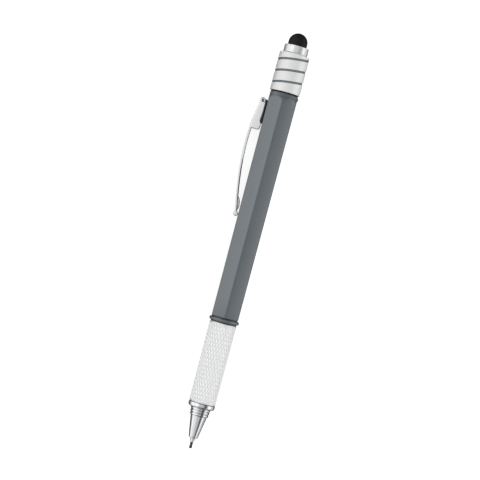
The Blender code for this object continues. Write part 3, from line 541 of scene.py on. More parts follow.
# Nose cone. Turned and bright-plated: a rounded flange that carries on the line of the grip, three ribs, and
# a cone down to the refill's hole. The flange is a little duller. Its spigot screws into the grip.
CONE_TIP_RADIUS = 0.00162
CONE_TOP_RADIUS = 0.00292
CONE_LENGTH = 0.00785
CONE_FILLET = 0.00022
NOSE_BORE = 0.001325
NOSE_LAND = 0.001
NOSE_TIP_BORE = 0.0058
RIB_STACK = 0.00295
RIB_COUNT = 3
RIB_RADIUS = 0.0035
RIB_TAPER = 0.00018
RIB_DEPTH = 0.0003
RIB_LAND_SHARE = 0.04
RIB_FULLNESS = 0.55
RIB_STEPS = 12
FLANGE_RADIUS = 0.00468
FLANGE_ROUND_SHARE = 0.42
FLANGE_UNDERCUT = 0.0004
FLANGE_ROUGHNESS = 0.17
GRIP_GAP = 0.00018
SPIGOT_RADIUS = 0.0034
SPIGOT_FILLET = 0.00012
ROTOR_BORE = 0.0023

nose_low, spigot_high = span("nose_cone")
grip_low, grip_high = span("grip_sleeve")
rib_low = nose_low + CONE_LENGTH
rib_pitch = RIB_STACK / RIB_COUNT
flange_low = rib_low + RIB_STACK
flange_high = grip_low - GRIP_GAP
flange_round = (flange_high - flange_low) * FLANGE_ROUND_SHARE
cone_side = [
    (NOSE_BORE, nose_low + NOSE_LAND),
    (NOSE_BORE, nose_low),
    (CONE_TIP_RADIUS, nose_low),
    (CONE_TOP_RADIUS, rib_low),
]
nose_outline = softened(cone_side, CONE_FILLET, closed=False)
for k in range(RIB_COUNT):
    crest = RIB_RADIUS - RIB_TAPER * (RIB_COUNT - 1 - k) / 2
    for step in range(RIB_STEPS + 1):
        turn = step / RIB_STEPS
        swell = abs(sin(pi * turn)) ** RIB_FULLNESS
        rise = rib_pitch * (k + RIB_LAND_SHARE + (1 - RIB_LAND_SHARE * 2) * turn)
        nose_outline.append((crest - RIB_DEPTH * (1 - swell), rib_low + rise))
nose_outline.append((FLANGE_RADIUS - flange_round - FLANGE_UNDERCUT, flange_low))
nose_outline += arc((FLANGE_RADIUS - flange_round, flange_low + flange_round), flange_round, -90, 0, 10)
spigot_side = [
    (FLANGE_RADIUS, flange_high),
    (SPIGOT_RADIUS, flange_high),
    (SPIGOT_RADIUS, spigot_high),
    (ROTOR_BORE, spigot_high),
    (ROTOR_BORE, rib_low + RIB_STACK / 2),
    (NOSE_BORE, nose_low + NOSE_TIP_BORE),
]
nose_outline += softened(spigot_side, SPIGOT_FILLET, closed=False)
nose = finished_piece("nose", turned(nose_outline), chrome)
soft_chrome = polished("soft_chrome", CHROME, FLANGE_ROUGHNESS)
finish_faces(nose, soft_chrome, lambda place, normal: place.z > flange_low)
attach(nose, "grip")
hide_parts("nose_cone")

# Knurled grip. A silver sleeve with 28 columns of long diamonds pressed between two plain rims. The sleeve
# is turned here, and the nodes stand a blunt stud in every diamond and wrap the field round it.
GRIP_LOWER_RADIUS = 0.00468
GRIP_UPPER_RADIUS = 0.0048
GRIP_BORE = 0.0036
GRIP_SEAT_GAP = 0.00004
GRIP_RIM = 0.0006
RIM_INSET = 0.00006
RIM_END_INSET = 0.0001
RIM_STEP = 0.00008
KNURL_COLUMNS = 28
KNURL_ROWS = 19
KNURL_DEPTH = 0.00019
KNURL_SINK = 0.00004
STUD_TOP_SHARE = 0.42
GRIP_SILVER = ((0.92, 0.925, 0.93, 1), (0.97, 0.97, 0.97, 1))
KNURL_PAINTED_SHADE = (0.78, 0.785, 0.79, 1)


def new_tree(name, counts, measures):
    """A geometry tree with named inputs, its start, and the field of each input."""
    tree = bpy.data.node_groups.new(name, "GeometryNodeTree")
    kinds = {"Geometry": "Geometry", "Finish": "Material"}
    kinds.update(dict.fromkeys(counts, "Int"))
    kinds.update(dict.fromkeys(measures, "Float"))
    for label, kind in kinds.items():
        tree.interface.new_socket(label, in_out="INPUT", socket_type="NodeSocket" + kind)
    tree.interface.new_socket("Geometry", in_out="OUTPUT", socket_type="NodeSocketGeometry")
    group = tree.nodes.new("NodeGroupInput")
    return tree, Field(tree), {socket.name: Field(tree, socket) for socket in group.outputs if socket.name}


def vector_of(start, **values):
    """A vector from its X, Y and Z, or from those of them that aren't 0."""
    return start.node("ShaderNodeCombineXYZ", values)


def joined(start, fields):
    """All these pieces of geometry as one."""
    join = start.node("GeometryNodeJoinGeometry")
    for field in fields:
        start.tree.links.new(field.socket, join.socket.node.inputs["Geometry"])
    return join


def end_tree(geometry, finish):
    """Every tree ends here: real faces, with their finish."""
    real = geometry.node("GeometryNodeRealizeInstances", {"Geometry": geometry})
    done = geometry.node("GeometryNodeSetMaterial", {"Geometry": real, "Material": finish})
    out = geometry.tree.nodes.new("NodeGroupOutput")
    geometry.tree.links.new(done.socket, out.inputs["Geometry"])


def run_tree(piece, tree, values, sharp=32):
    """Runs the tree on a piece in the pen's frame, keeps the plain mesh, and lays it in place."""
    modifier = piece.modifiers.new(tree.name, "NODES")
    modifier.node_group = tree
    for item in tree.interface.items_tree:
        if item.in_out == "INPUT" and item.name in values:
            modifier[item.identifier] = values[item.name]
    settle(piece, sharp)
    piece.data.transform(lay_down)


def knurl_tree():
    measures = ("Low", "High", "Low Radius", "High Radius", "Depth", "Sink")
    tree, start, size = new_tree("diamond_knurl", ("Columns", "Rows"), measures)
    # One stud, a four-sided frustum one column wide and two half rows long, on unit sizes
    cone = {"Vertices": 4, "Side Segments": 3, "Radius Top": STUD_TOP_SHARE, "Radius Bottom": 1, "Depth": 1}
    stud = start.node("GeometryNodeMeshCone", cone, {"fill_type": "NGON"})
    stud = start.node("GeometryNodeTransform", {"Geometry": stud, "Scale": (0.5, 1, 1)})
    fields = []
    columns = size["Columns"]
    half_rows = (size["Rows"] + 1) / 2
    for shift in (0, 1):
        counts = {"Vertices X": columns, "Vertices Y": half_rows}
        sides = {"Size X": columns - 1, "Size Y": (half_rows - 1) * 2}
        grid = start.node("GeometryNodeMeshGrid", {**sides, **counts})
        corner = vector_of(start, X=(columns - 1) / 2 + shift / 2, Y=half_rows - 1 + shift)
        grid = start.node("GeometryNodeTransform", {"Geometry": grid, "Translation": corner})
        fields.append(start.node("GeometryNodeInstanceOnPoints", {"Points": grid, "Instance": stud}))
    studs = start.node("GeometryNodeRealizeInstances", {"Geometry": joined(start, fields)})
    # The flat field is held between the rims, domed, and wrapped round the sleeve
    place = start.node("GeometryNodeInputPosition")
    split = start.node("ShaderNodeSeparateXYZ", {"Vector": place})
    along = Field(tree, split.socket.node.outputs["Y"])
    rise = Field(tree, split.socket.node.outputs["Z"])
    angle = split * tau / columns
    share = start.math("MINIMUM", start.math("MAXIMUM", along, 0), size["Rows"]) / size["Rows"]
    height = mixed(size["Low"], size["High"], share)
    sleeve = mixed(size["Low Radius"], size["High Radius"], share)
    dome = 1 - (1 - rise) * (1 - rise)
    radius = sleeve - size["Depth"] - size["Sink"] + dome * (size["Depth"] + size["Sink"])
    cosine = start.math("COSINE", angle)
    sine = start.math("SINE", angle)
    wrapped = vector_of(start, X=radius * cosine, Y=radius * sine, Z=height)
    crest = {"Geometry": studs, "Name": "crest", "Value": rise}
    studs = start.node("GeometryNodeStoreNamedAttribute", crest, {"data_type": "FLOAT", "domain": "POINT"})
    studs = start.node("GeometryNodeSetPosition", {"Geometry": studs, "Position": wrapped})
    end_tree(joined(start, (size["Geometry"], studs)), size["Finish"])
    return tree


def grip_finish():
    finish, start = new_finish("knurled_silver", {"Metallic": 0.3})
    haze = grain(start, 900, 900, 4)
    spark = grain(start, 9000, 9000, 2)
    # The knurl's valleys are painted a darker grey: painted shade in the recesses between the diamonds
    crest = start.node("ShaderNodeAttribute", settings={"attribute_name": "crest"}, output="Fac")
    silver_tone = (haze * 0.7 + spark * 0.4).blend(*GRIP_SILVER)
    return feed(finish, {
        "Base Color": crest.clamped(0.1, 0.55).blend(KNURL_PAINTED_SHADE, silver_tone),
        "Roughness": 0.32 + haze * 0.14,
        "Normal": spark.relief(0.000002),
    })


def grip_end(radius, end, inward):
    """The outline of one end of the sleeve, from its bore over the rim to the knurl's valley."""
    seat = end + GRIP_SEAT_GAP * inward
    return [
        (GRIP_BORE, seat),
        (radius - RIM_END_INSET, seat),
        (radius - RIM_INSET, end + GRIP_RIM * inward),
        (radius - KNURL_DEPTH, end + (GRIP_RIM + RIM_STEP) * inward),
    ]


knurled = grip_finish()
grip_outline = grip_end(GRIP_LOWER_RADIUS, grip_low, 1) + grip_end(GRIP_UPPER_RADIUS, grip_high, -1)[::-1]
grip_form = turned(softened(grip_outline, RIM_STEP), steps=168)
grip = finished_piece("knurled_grip", grip_form, knurled, place=Matrix())
knurl = {
    "Columns": KNURL_COLUMNS,
    "Rows": KNURL_ROWS,
    "Low": grip_low + GRIP_RIM,
    "High": grip_high - GRIP_RIM,
    "Low Radius": GRIP_LOWER_RADIUS,
    "High Radius": GRIP_UPPER_RADIUS,
    "Depth": KNURL_DEPTH,
    "Sink": KNURL_SINK,
    "Finish": knurled,
}
run_tree(grip, knurl_tree(), knurl, sharp=25)
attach(grip, "grip")
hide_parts("grip_sleeve")

# Bit holder. A black nylon plug glued into the barrel's top, with a hexagon socket for the bit. Its neck
# stands out of the barrel, and the cap screws on to the neck's thread.
HOLDER_RADIUS = 0.0037
HOLDER_FLOOR = 0.0052
HOLDER_FILLET = 0.00025
SHOULDER_GAP = 0.00005
NECK_CORE_RADIUS = 0.00308
NECK_THREAD_START = 0.0008
NECK_THREAD_TURNS = 3.5
THREAD_PITCH = 0.0009
THREAD_HEIGHT = 0.0003
THREAD_SINK = 0.00001
THREAD_STEPS = 48
SOCKET_FLAT = 0.00205
SOCKET_CORNER = 0.0002
SOCKET_MOUTH = 0.0003
SOCKET_FLARE = 0.0004
SOCKET_OVERRUN = 0.0001


def winding_tree():
    """Adds a bar wound round the pen's axis, thin at its ends: a thread's ridge, or what cuts a groove."""
    tips = ("Tip Share", "Tip Turns")
    measures = ("Radius", "Foot", "Pitch", "Turns", "Start", "Width", "Height", "Slant", *tips)
    tree, start, size = new_tree("winding", ("Steps",), measures)
    radii = {"Start Radius": size["Radius"], "End Radius": size["Radius"]}
    climb = {"Rotations": size["Turns"], "Height": size["Turns"] * size["Pitch"], "Reverse": True}
    spiral = start.node("GeometryNodeCurveSpiral", {"Resolution": size["Steps"], **radii, **climb})
    spiral = start.node("GeometryNodeSetCurveNormal", {"Curve": spiral}, {"mode": "Z_UP"})
    share = start.node("GeometryNodeSplineParameter", output="Factor")
    near_end = start.math("MINIMUM", share, 1 - share) * size["Turns"] / size["Tip Turns"]
    thin = start.math("MINIMUM", near_end, 1)
    scale = mixed(size["Tip Share"], 1, thin)
    section = {"Width": size["Width"], "Height": size["Height"]}
    bar = start.node("GeometryNodeCurvePrimitiveQuadrilateral", section)
    slant = vector_of(start, Z=size["Slant"])
    bar = start.node("GeometryNodeTransform", {"Geometry": bar, "Rotation": slant})
    sweep = {"Curve": spiral, "Profile Curve": bar, "Scale": scale, "Fill Caps": True}
    wound = start.node("GeometryNodeCurveToMesh", sweep)
    moves = {"Translation": vector_of(start, Z=size["Foot"]), "Rotation": vector_of(start, Z=size["Start"])}
    wound = start.node("GeometryNodeTransform", {"Geometry": wound, **moves})
    end_tree(joined(start, (size["Geometry"], wound)), size["Finish"])
    return tree


def stepped(low, *steps):
    """The outline of plain steps, up the outside and down the inside: the radius of each, and its end."""
    points = []
    for radius, end in steps:
        points += [(radius, low), (radius, end)]
        low = end
    return points[-1:] + points[:-1]


winding = winding_tree()
holder_low, holder_high = span("bit_holder")
shoulder = barrel_high - SHOULDER_GAP
holder_steps = ((HOLDER_RADIUS, shoulder), (NECK_CORE_RADIUS, holder_high), (0, holder_low))
holder_form = turned(softened(stepped(holder_low, *holder_steps), HOLDER_FILLET))
holder = finished_piece("bit_holder_plug", holder_form, black_plastic, place=Matrix())
socket_rings = [
    hexagon(SOCKET_FLAT, SOCKET_CORNER, holder_low + HOLDER_FLOOR, 3, 2),
    hexagon(SOCKET_FLAT, SOCKET_CORNER, holder_high - SOCKET_MOUTH, 3, 2),
    hexagon(SOCKET_FLAT + SOCKET_FLARE, SOCKET_MOUTH, holder_high + SOCKET_OVERRUN, 3, 2),
]
cut(holder, [finished_piece("socket", lofted(socket_rings), black_plastic, place=Matrix())])
neck_thread = {
    "Radius": NECK_CORE_RADIUS - THREAD_SINK,
    "Foot": barrel_high + NECK_THREAD_START,
    "Pitch": THREAD_PITCH,
    "Turns": NECK_THREAD_TURNS,
    "Start": 0.0,
    "Width": THREAD_HEIGHT,
    "Height": THREAD_HEIGHT,
    "Slant": radians(45),
    "Tip Share": 0.15,
    "Tip Turns": 0.3,
    "Steps": int(NECK_THREAD_TURNS * THREAD_STEPS),
    "Finish": black_plastic,
}
run_tree(holder, winding, neck_thread)
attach(holder, "barrel")
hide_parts("bit_holder")

# Driver bit. A reversible bit of dark hardened steel on a 4 mm hexagon: turned down at both ends, ground to
# a cross point above and to a flat blade below.
BIT_FLAT = 0.002
BIT_CORNER = 0.0002
BIT_FILLET = 0.00025
BIT_NECK_RADIUS = 0.0015
BIT_NECK_LENGTH = 0.0052
BIT_SHOULDER = 0.0009
CROSS_TAPER = 0.0022
CROSS_FLUTE = 0.0011
CROSS_WEB = 0.0006
BLADE_TAPER = 0.0036
BLADE_HALF = 0.0003
CUT_OVERRUN = 0.0005

bit_low, bit_high = span("driver_bit")
neck_low = bit_low + BIT_NECK_LENGTH
neck_high = bit_high - BIT_NECK_LENGTH
bit_reach = BIT_FLAT * 1.2
bit_rings = [hexagon(BIT_FLAT, BIT_CORNER, height, 3, 2) for height in (bit_low, bit_high)]
bit = finished_piece("reversible_bit", lofted(bit_rings), steel)
bit_envelope = [
    (0, bit_low),
    (BIT_NECK_RADIUS, bit_low),
    (BIT_NECK_RADIUS, neck_low),
    (bit_reach, neck_low + BIT_SHOULDER),
    (bit_reach, neck_high - BIT_SHOULDER),
    (BIT_NECK_RADIUS, neck_high),
    (BIT_NECK_RADIUS, bit_high - CROSS_TAPER),
    (BIT_NECK_RADIUS / 4, bit_high),
    (0, bit_high),
]
envelope_form = turned(softened(bit_envelope, BIT_FILLET), steps=96)
cut(bit, [finished_piece("bit_envelope", envelope_form, steel)], "INTERSECT")
far = BIT_FLAT * 2
flute_rows = (
    (CROSS_WEB / 3, bit_high + CUT_OVERRUN),
    (CROSS_WEB / 2, bit_high - CROSS_TAPER),
    (BIT_NECK_RADIUS, bit_high - CROSS_TAPER - CROSS_FLUTE),
)
blade_rows = (
    (BLADE_HALF, bit_low - CUT_OVERRUN),
    (BLADE_HALF, bit_low + CROSS_WEB),
    (BIT_NECK_RADIUS, bit_low + BLADE_TAPER),
)
cutters = []
for k in range(4):
    flute = lofted([[(n, n, z), (far, n, z), (far, far, z), (n, far, z)] for n, z in flute_rows])
    flute.transform(Matrix.Rotation(k * pi / 2, 4, "Z"))
    cutters.append(finished_piece(f"flute_{k}", flute, steel))
for side in (-1, 1):
    grind = []
    for n, z in blade_rows:
        grind.append([(x, y * side, z) for x, y in ((-far, n), (far, n), (far, far), (-far, far))])
    cutters.append(finished_piece(f"grind_{side}", lofted(grind), steel))
cut(bit, cutters)
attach(bit, "barrel")
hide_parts("driver_bit")

# Cap seal. A thin black washer under the cap, swollen a little between cap and barrel. It shows as a dark
# line above the barrel's lip.
SEAL_RADIUS = 0.00485
SEAL_BORE = 0.0034
SEAL_SWELL = 0.0001
SEAL_FILLET = 0.00006

seal_low, seal_high = span("cap_seal")
seal_low -= SEAL_SWELL
seal_high += SEAL_SWELL
seal_outline = stepped(seal_low, (SEAL_RADIUS, seal_high), (SEAL_BORE, seal_low))
seal = finished_piece("seal_washer", turned(softened(seal_outline, SEAL_FILLET)), rubber)
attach(seal, "seal")
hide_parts("cap_seal")

# Stylus cap. A drawn aluminium sleeve, brushed round, with one spiral groove cut in it and filled with the
# barrel's grey. It just clears the swollen washer.
CAP_RADIUS = 0.00535
CAP_LIFT = 0.00011
CAP_BORE = 0.0043
CAP_ROOF = 0.00105
CAP_EDGE = 0.0002
POST_HOLE = 0.00245
GROOVE_PITCH = 0.0041
GROOVE_WIDTH = 0.0008
GROOVE_DEPTH = 0.00022
GROOVE_TURNS = 3.1
GROOVE_START = radians(150)
GROOVE_FOOT = 0.00021
GROOVE_STEPS = 300
GROOVE_CUTTER = 0.0016
SILVER = ((0.70, 0.70, 0.70, 1), (0.90, 0.90, 0.895, 1))
GROOVE_GREY = ((0.130, 0.155, 0.168, 1), (0.165, 0.195, 0.208, 1))


def brushed_finish():
    finish, start = new_finish("brushed_silver", {"Metallic": 0.35})
    centre = pen_foot * -260
    fine = grain(start, 8000, 260, 2, centre)
    broad = grain(start, 2600, 200, 3, centre)
    lines = fine * 0.55 + broad * 0.55 - 0.05
    return feed(finish, {
        "Base Color": lines.blend(*SILVER),
        "Roughness": 0.4 + lines * 0.2,
        "Normal": lines.relief(0.0000022),
    })


silver = brushed_finish()
groove_paint = moulded("groove_paint", GROOVE_GREY, 0.4)
cap_low, cap_high = span("cap_sleeve")
cap_mouth = cap_low + CAP_LIFT
cap_steps = ((CAP_RADIUS, cap_high), (POST_HOLE, cap_high - CAP_ROOF), (CAP_BORE, cap_mouth))
cap_outline = stepped(cap_mouth, *cap_steps)
cap = finished_piece("stylus_cap", turned(softened(cap_outline, CAP_EDGE), steps=180), silver)
spiral_groove = {
    "Radius": CAP_RADIUS - GROOVE_DEPTH + GROOVE_CUTTER / 2,
    "Foot": cap_low + GROOVE_FOOT,
    "Pitch": GROOVE_PITCH,
    "Turns": GROOVE_TURNS,
    "Start": GROOVE_START,
    "Width": GROOVE_CUTTER,
    "Height": GROOVE_WIDTH,
    "Slant": 0.0,
    "Tip Share": 0.55,
    "Tip Turns": 0.07,
    "Steps": GROOVE_STEPS,
    "Finish": groove_paint,
}
groove_bar = finished_piece("groove_bar", bmesh.new(), groove_paint)
run_tree(groove_bar, winding, spiral_groove)
cut(cap, [groove_bar])
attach(cap, "cap")
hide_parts("cap_sleeve")

# Cap bush. The black plastic insert that is pressed into the cap's mouth and holds the cap's own thread. It
# starts just clear of the washer.
BUSH_RADIUS = 0.0042
BUSH_BORE = 0.0036
BUSH_FILLET = 0.0001
BUSH_CLEARANCE = 0.00001
BUSH_THREAD_START = 0.0007
BUSH_THREAD_TURNS = 7.0

bush_foot, bush_top = span("cap_bush")
bush_low = max(bush_foot, seal_high + BUSH_CLEARANCE)
bush_outline = stepped(bush_low, (BUSH_RADIUS, bush_top), (BUSH_BORE, bush_low))
bush_form = turned(softened(bush_outline, BUSH_FILLET))
bush = finished_piece("threaded_bush", bush_form, black_plastic, place=Matrix())
bush_thread = {
    **neck_thread,
    "Radius": BUSH_BORE + THREAD_SINK,
    "Foot": bush_low + BUSH_THREAD_START,
    "Turns": BUSH_THREAD_TURNS,
    "Start": pi,
    "Steps": int(BUSH_THREAD_TURNS * THREAD_STEPS),
}
run_tree(bush, winding, bush_thread)
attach(bush, "cap")
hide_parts("cap_bush")

# Stylus. A bright collar stands on the cap and holds a hollow dome of black conductive rubber, with a plastic
# rivet from inside the cap through all three.
COLLAR_RADIUS = 0.00432
COLLAR_BORE = 0.00345
COLLAR_FLOOR = 0.0007
COLLAR_FILLET = 0.0002
COLLAR_SEAM = 0.00016
DOME_RADIUS = 0.00335
DOME_WALL = 0.0008
COLLAR_SILVER = ((0.74, 0.74, 0.74, 1), (0.84, 0.84, 0.84, 1))

collar_low, collar_high = span("stylus_collar")
collar_outline = stepped(
    collar_low,
    (COLLAR_RADIUS - COLLAR_SEAM * 2, collar_low + COLLAR_SEAM),
    (COLLAR_RADIUS, collar_high),
    (COLLAR_BORE, collar_low + COLLAR_FLOOR),
    (POST_HOLE, collar_low),
)
collar_plating = polished("collar_plating", COLLAR_SILVER, 0.24, metallic=0.62)
collar = finished_piece("collar", turned(softened(collar_outline, COLLAR_FILLET)), collar_plating)
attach(collar, "cap")
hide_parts("stylus_collar")

dome_low, dome_high = span("stylus_tip")
dome_centre = dome_high - DOME_RADIUS
dome_outer = arc((0, dome_centre), DOME_RADIUS, 0, 90, 24)
dome_inner = arc((0, dome_centre), DOME_RADIUS - DOME_WALL, 90, 0, 16)
dome_outer[-1] = (0, dome_high)
dome_inner[0] = (0, dome_high - DOME_WALL)
dome_foot = [(DOME_RADIUS - DOME_WALL, dome_low), (DOME_RADIUS, dome_low)]
dome = finished_piece("rubber_dome", turned(dome_inner + dome_foot + dome_outer), rubber)
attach(dome, "cap")
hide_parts("stylus_tip")
refinish("stylus_post", black_plastic)

# Pocket clip. A leaf, painted dark as painted shade, hooks into the barrel. The bright-plated arm is curled
# over at its top on the leaf and springs there; two side flanges stiffen it, and it ends in a dimple and a
# bead.
CLIP_SHEET = 0.0008
CLIP_LENGTH = 0.0425
CLIP_STANDOFF = 0.00425
CLIP_GAP = 0.0001
BEND_RADIUS = 0.001175
CURL_RADIUS = 0.0009
CURL_SHEET = 0.00056
CURL_STANDOFF = 0.00178
CURL_RISE = 0.00014
CURL_LEG = 0.004
LEAF_DROP = 0.00035
CLIP_HALF_WIDTH = 0.002
CLIP_END_HALF = 0.0014
NECK_HALF = 0.0012
TONGUE_HALF = 0.00135
SHADE_STRIP_HALF = 0.0011
SHADE_STRIP_SQUEEZE = 0.00001
SHEET_EDGE = 0.0001
LOWER_CHAMFER = 0.00027
LOWER_SHARE = 0.53
FLANGE_START = 0.0015
FLANGE_END = 0.011
FLANGE_SHEET = 0.00055
FLANGE_BEND = 0.00042
FLANGE_REACH = 0.0025
LOBE_SHARE = 0.68
HOOK_DROP = 0.00705
HOOK_REACH = 0.0039
DIMPLE_DOWN = 0.038
DIMPLE_HALF = 0.0022
DIMPLE_HEIGHT = 0.00072
BEAD_ROUND = 0.00085
BEAD_OPENING = 0.06
BEAD_NARROWING = 0.22
RING_STEP = 0.00003
INNER_MARGIN = 0.000151
BROAD_TILT = 0.2
SIDE_TILT = 0.95
PAINTED_LIGHT_SILVER = ((0.88, 0.885, 0.89, 1), (0.95, 0.955, 0.96, 1))

# The arm's outer face: how far down the clip, and how far off the barrel's flat
ARM_SHARES = (
    (0.0185, 0.614), (0.0400, 0.632), (0.0800, 0.692), (0.1150, 0.757), (0.1880, 0.872), (0.2600, 0.950),
    (0.3570, 0.995), (0.4620, 0.978), (0.5680, 0.915), (0.6620, 0.815), (0.7680, 0.665), (0.8520, 0.525),
    (0.9250, 0.390), (0.9700, 0.320),
)
# The side flanges: how far along, and how deep below the middle of the sheet
FLANGE_SHARES = (
    (0.00, 0.62), (0.15, 0.70), (0.33, 0.82), (0.66, 0.93), (0.70, 1.06), (0.78, 1.21), (0.89, 1.26),
    (0.96, 1.19), (1.00, 0.96),
)
# The arm's chamfer: how far down the clip, and how wide
CHAMFER_SHARES = ((0.49475, SHEET_EDGE), (0.61225, LOWER_CHAMFER))

hinge_place = pick_up @ Vector(clip_hinge["pos_m"])
clip_top = hinge_place.z + BEND_RADIUS
clip_flat = hinge_place.x - BEND_RADIUS - CLIP_GAP


def between(table, share):
    """The table's value at a share, straight between its rows."""
    for (s0, v0), (s1, v1) in zip(table, table[1:]):
        if share <= s1:
            return mixed(v0, v1, max(0, share - s0) / (s1 - s0))
    return table[-1][1]


def smooth_path(points, per_span):
    """A smooth curve through the points."""
    padded = [points[0] * 2 - points[1]] + points + [points[-1] * 2 - points[-2]]
    found = []
    for a, b, c, d in zip(padded, padded[1:], padded[2:], padded[3:]):
        for k in range(per_span):
            t = k / per_span
            square = a * 2 - b * 5 + c * 4 - d
            cube = (b - c) * 3 - a + d
            found.append(b + ((c - a) * t + square * t**2 + cube * t**3) / 2)
    return found + points[-1:]


arm_points = [Vector((clip_flat + d * CLIP_STANDOFF, clip_top - s * CLIP_LENGTH)) for s, d in ARM_SHARES]
arm_path = smooth_path(arm_points, 12)


def arm_at(down):
    """The arm's outer face so far below the clip's top, and the way in from it."""
    for before, after in zip(arm_path, arm_path[1:]):
        if clip_top - after.y >= down or after is arm_path[-1]:
            break
    along = (after - before).normalized()
    outer = before + along * ((before.y - clip_top + down) / -along.y)
    return outer, Vector((along.y, -along.x))


def stamping_ring(
    outer, inward, half, face=0.0, back=CLIP_SHEET, foot=0.0, dimple=0.0, rounding=0.4, chamfer=SHEET_EDGE
):
    """A section across the sheet. Measured inwards from the outer face, the sheet lies between face and back,
    and its side flanges reach to foot. dimple is 1 at the dimple's middle and 0 at its ends."""
    foot = max(foot, back)
    bend = min(FLANGE_BEND, (foot - face) * rounding)
    wall = FLANGE_SHEET if foot > back else chamfer * 1.5
    nook = min(SHEET_EDGE, foot - back)
    right = [
        (half - wall - nook, back),
        (half - wall, back + nook),
        (half - wall, foot - nook),
        (half - wall + nook, foot),
        (half - chamfer, foot),
        (half, foot - chamfer),
    ]
    for k in range(5):
        turn = pi / 2 * k / 4
        right.append((half - bend * (1 - cos(turn)), face + bend * (1 - sin(turn))))
    left = [(-y, q) for y, q in right[::-1]]
    steps = [cos(pi * k / 14) for k in range(1, 14)]
    pressed = [DIMPLE_HEIGHT * sqrt(max(0, dimple - t**2)) for t in steps]
    hollow = [((half - bend) * t, face + depth) for t, depth in zip(steps, pressed)]
    bump = [((wall + nook - half) * t, back + depth) for t, depth in zip(steps, pressed)]
    return [(outer.x + inward.x * q, y, outer.y + inward.y * q) for y, q in right + hollow + left + bump]


def on_side(place, normal):
    """Whether a face is a side or an edge of the sheet, and not one of its broad faces."""
    return abs(normal.dot(viewer_way)) > BROAD_TILT


def slanted(normal):
    """Whether a face is an edge of the sheet, between a broad face and a side."""
    return BROAD_TILT < abs(normal.dot(viewer_way)) < SIDE_TILT


# The leaf starts with its hook in the barrel's slot, turns up along the flat, and ends beside the curl
hook_height = hinge_place.z - HOOK_DROP
leaf_x = clip_flat + CLIP_GAP
leaf_rings = []
for x in (HOOK_REACH, leaf_x - SHEET_EDGE):
    leaf_rings.append(stamping_ring(Vector((x, hook_height)), Vector((0, -1)), TONGUE_HALF))
hook_corner = Vector((leaf_x - SHEET_EDGE, hook_height + SHEET_EDGE))
for k in range(1, 9):
    way = heading(radians(90 * k / 8 - 90)).xy
    leaf_rings.append(stamping_ring(hook_corner + way * SHEET_EDGE, way, TONGUE_HALF))
for k in range(9):
    turn = radians(80 * k / 8)
    thin = CLIP_SHEET / 2 * (1 - cos(turn))
    leaf_end = Vector((leaf_x, clip_top - LEAF_DROP - CLIP_SHEET / 2 * (1 - sin(turn))))
    leaf_rings.append(stamping_ring(leaf_end, Vector((1, 0)), TONGUE_HALF, face=thin, back=CLIP_SHEET - thin))
# The leaf is dark steel: painted shade for the narrow gap between the clip and the barrel
hooked_leaf = finished_piece("hooked_leaf", lofted(leaf_rings), dark_steel_and_shade, sharp=40)

# The curl goes over a black strip, a painted shadow in the curl's hollow, and its inner leg runs down between
# the flanges
curl_middle = Vector((clip_flat + CURL_STANDOFF, clip_top + CURL_RISE - CURL_RADIUS))
leg_end = curl_middle - Vector((CURL_RADIUS, CURL_LEG))
curl_rings = [stamping_ring(leg_end, Vector((1, 0)), NECK_HALF, back=CURL_SHEET)]
for k in range(33):
    way = heading(pi - pi * k / 32).xy
    outer = curl_middle + way * CURL_RADIUS
    curl_rings.append(stamping_ring(outer, -way, NECK_HALF, back=CURL_SHEET, rounding=0.5))
for k in range(1, 9):
    outer, inward = arm_at(mixed(CURL_RADIUS, FLANGE_START, k / 8))
    half = mixed(NECK_HALF, CLIP_HALF_WIDTH, (k / 8) ** 6)
    curl_rings.append(stamping_ring(outer, inward, half, back=mixed(CURL_SHEET, CLIP_SHEET, k / 8)))
clip_chrome = polished("clip_chrome", CHROME, 0.07)
clip_satin = polished("clip_satin", CHROME, 0.25, metallic=0.4)
leaf = finished_piece("clip_leaf_and_bend", lofted(curl_rings), clip_chrome, sharp=40)
# A black strip fills the curl's hollow: painted shadow where the floor would show through
inner_radius = CURL_RADIUS - CURL_SHEET + SHADE_STRIP_SQUEEZE
shade_strip_foot = [(-inner_radius, -CURL_LEG / 2), (inner_radius, -CURL_LEG / 2)]
shade_strip_side = shade_strip_foot + arc((0, 0), inner_radius, 0, 180, 12)
shade_strip_rings = []
for y in (-SHADE_STRIP_HALF, SHADE_STRIP_HALF):
    shade_strip_rings.append([(curl_middle.x + x, y, curl_middle.y + z) for x, z in shade_strip_side])
shade_strip = finished_piece("painted_shadow_strip", lofted(shade_strip_rings), black_plastic)


def on_curl(place, normal):
    """Whether a face belongs to the outer edge of the curl, which is painted dark as a painted shade line."""
    away = place.xz - curl_middle
    return slanted(normal) and away.y > 0 and away.length > (CURL_RADIUS + inner_radius) / 2


finish_faces(leaf, clip_satin, on_side)
# The curl's outer edge takes the dark steel: a painted shade line round the curl
finish_faces(leaf, dark_steel_and_shade, on_curl)
cut(leaf, [hooked_leaf, shade_strip], "UNION")
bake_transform(leaf)
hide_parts("clip_tongue")

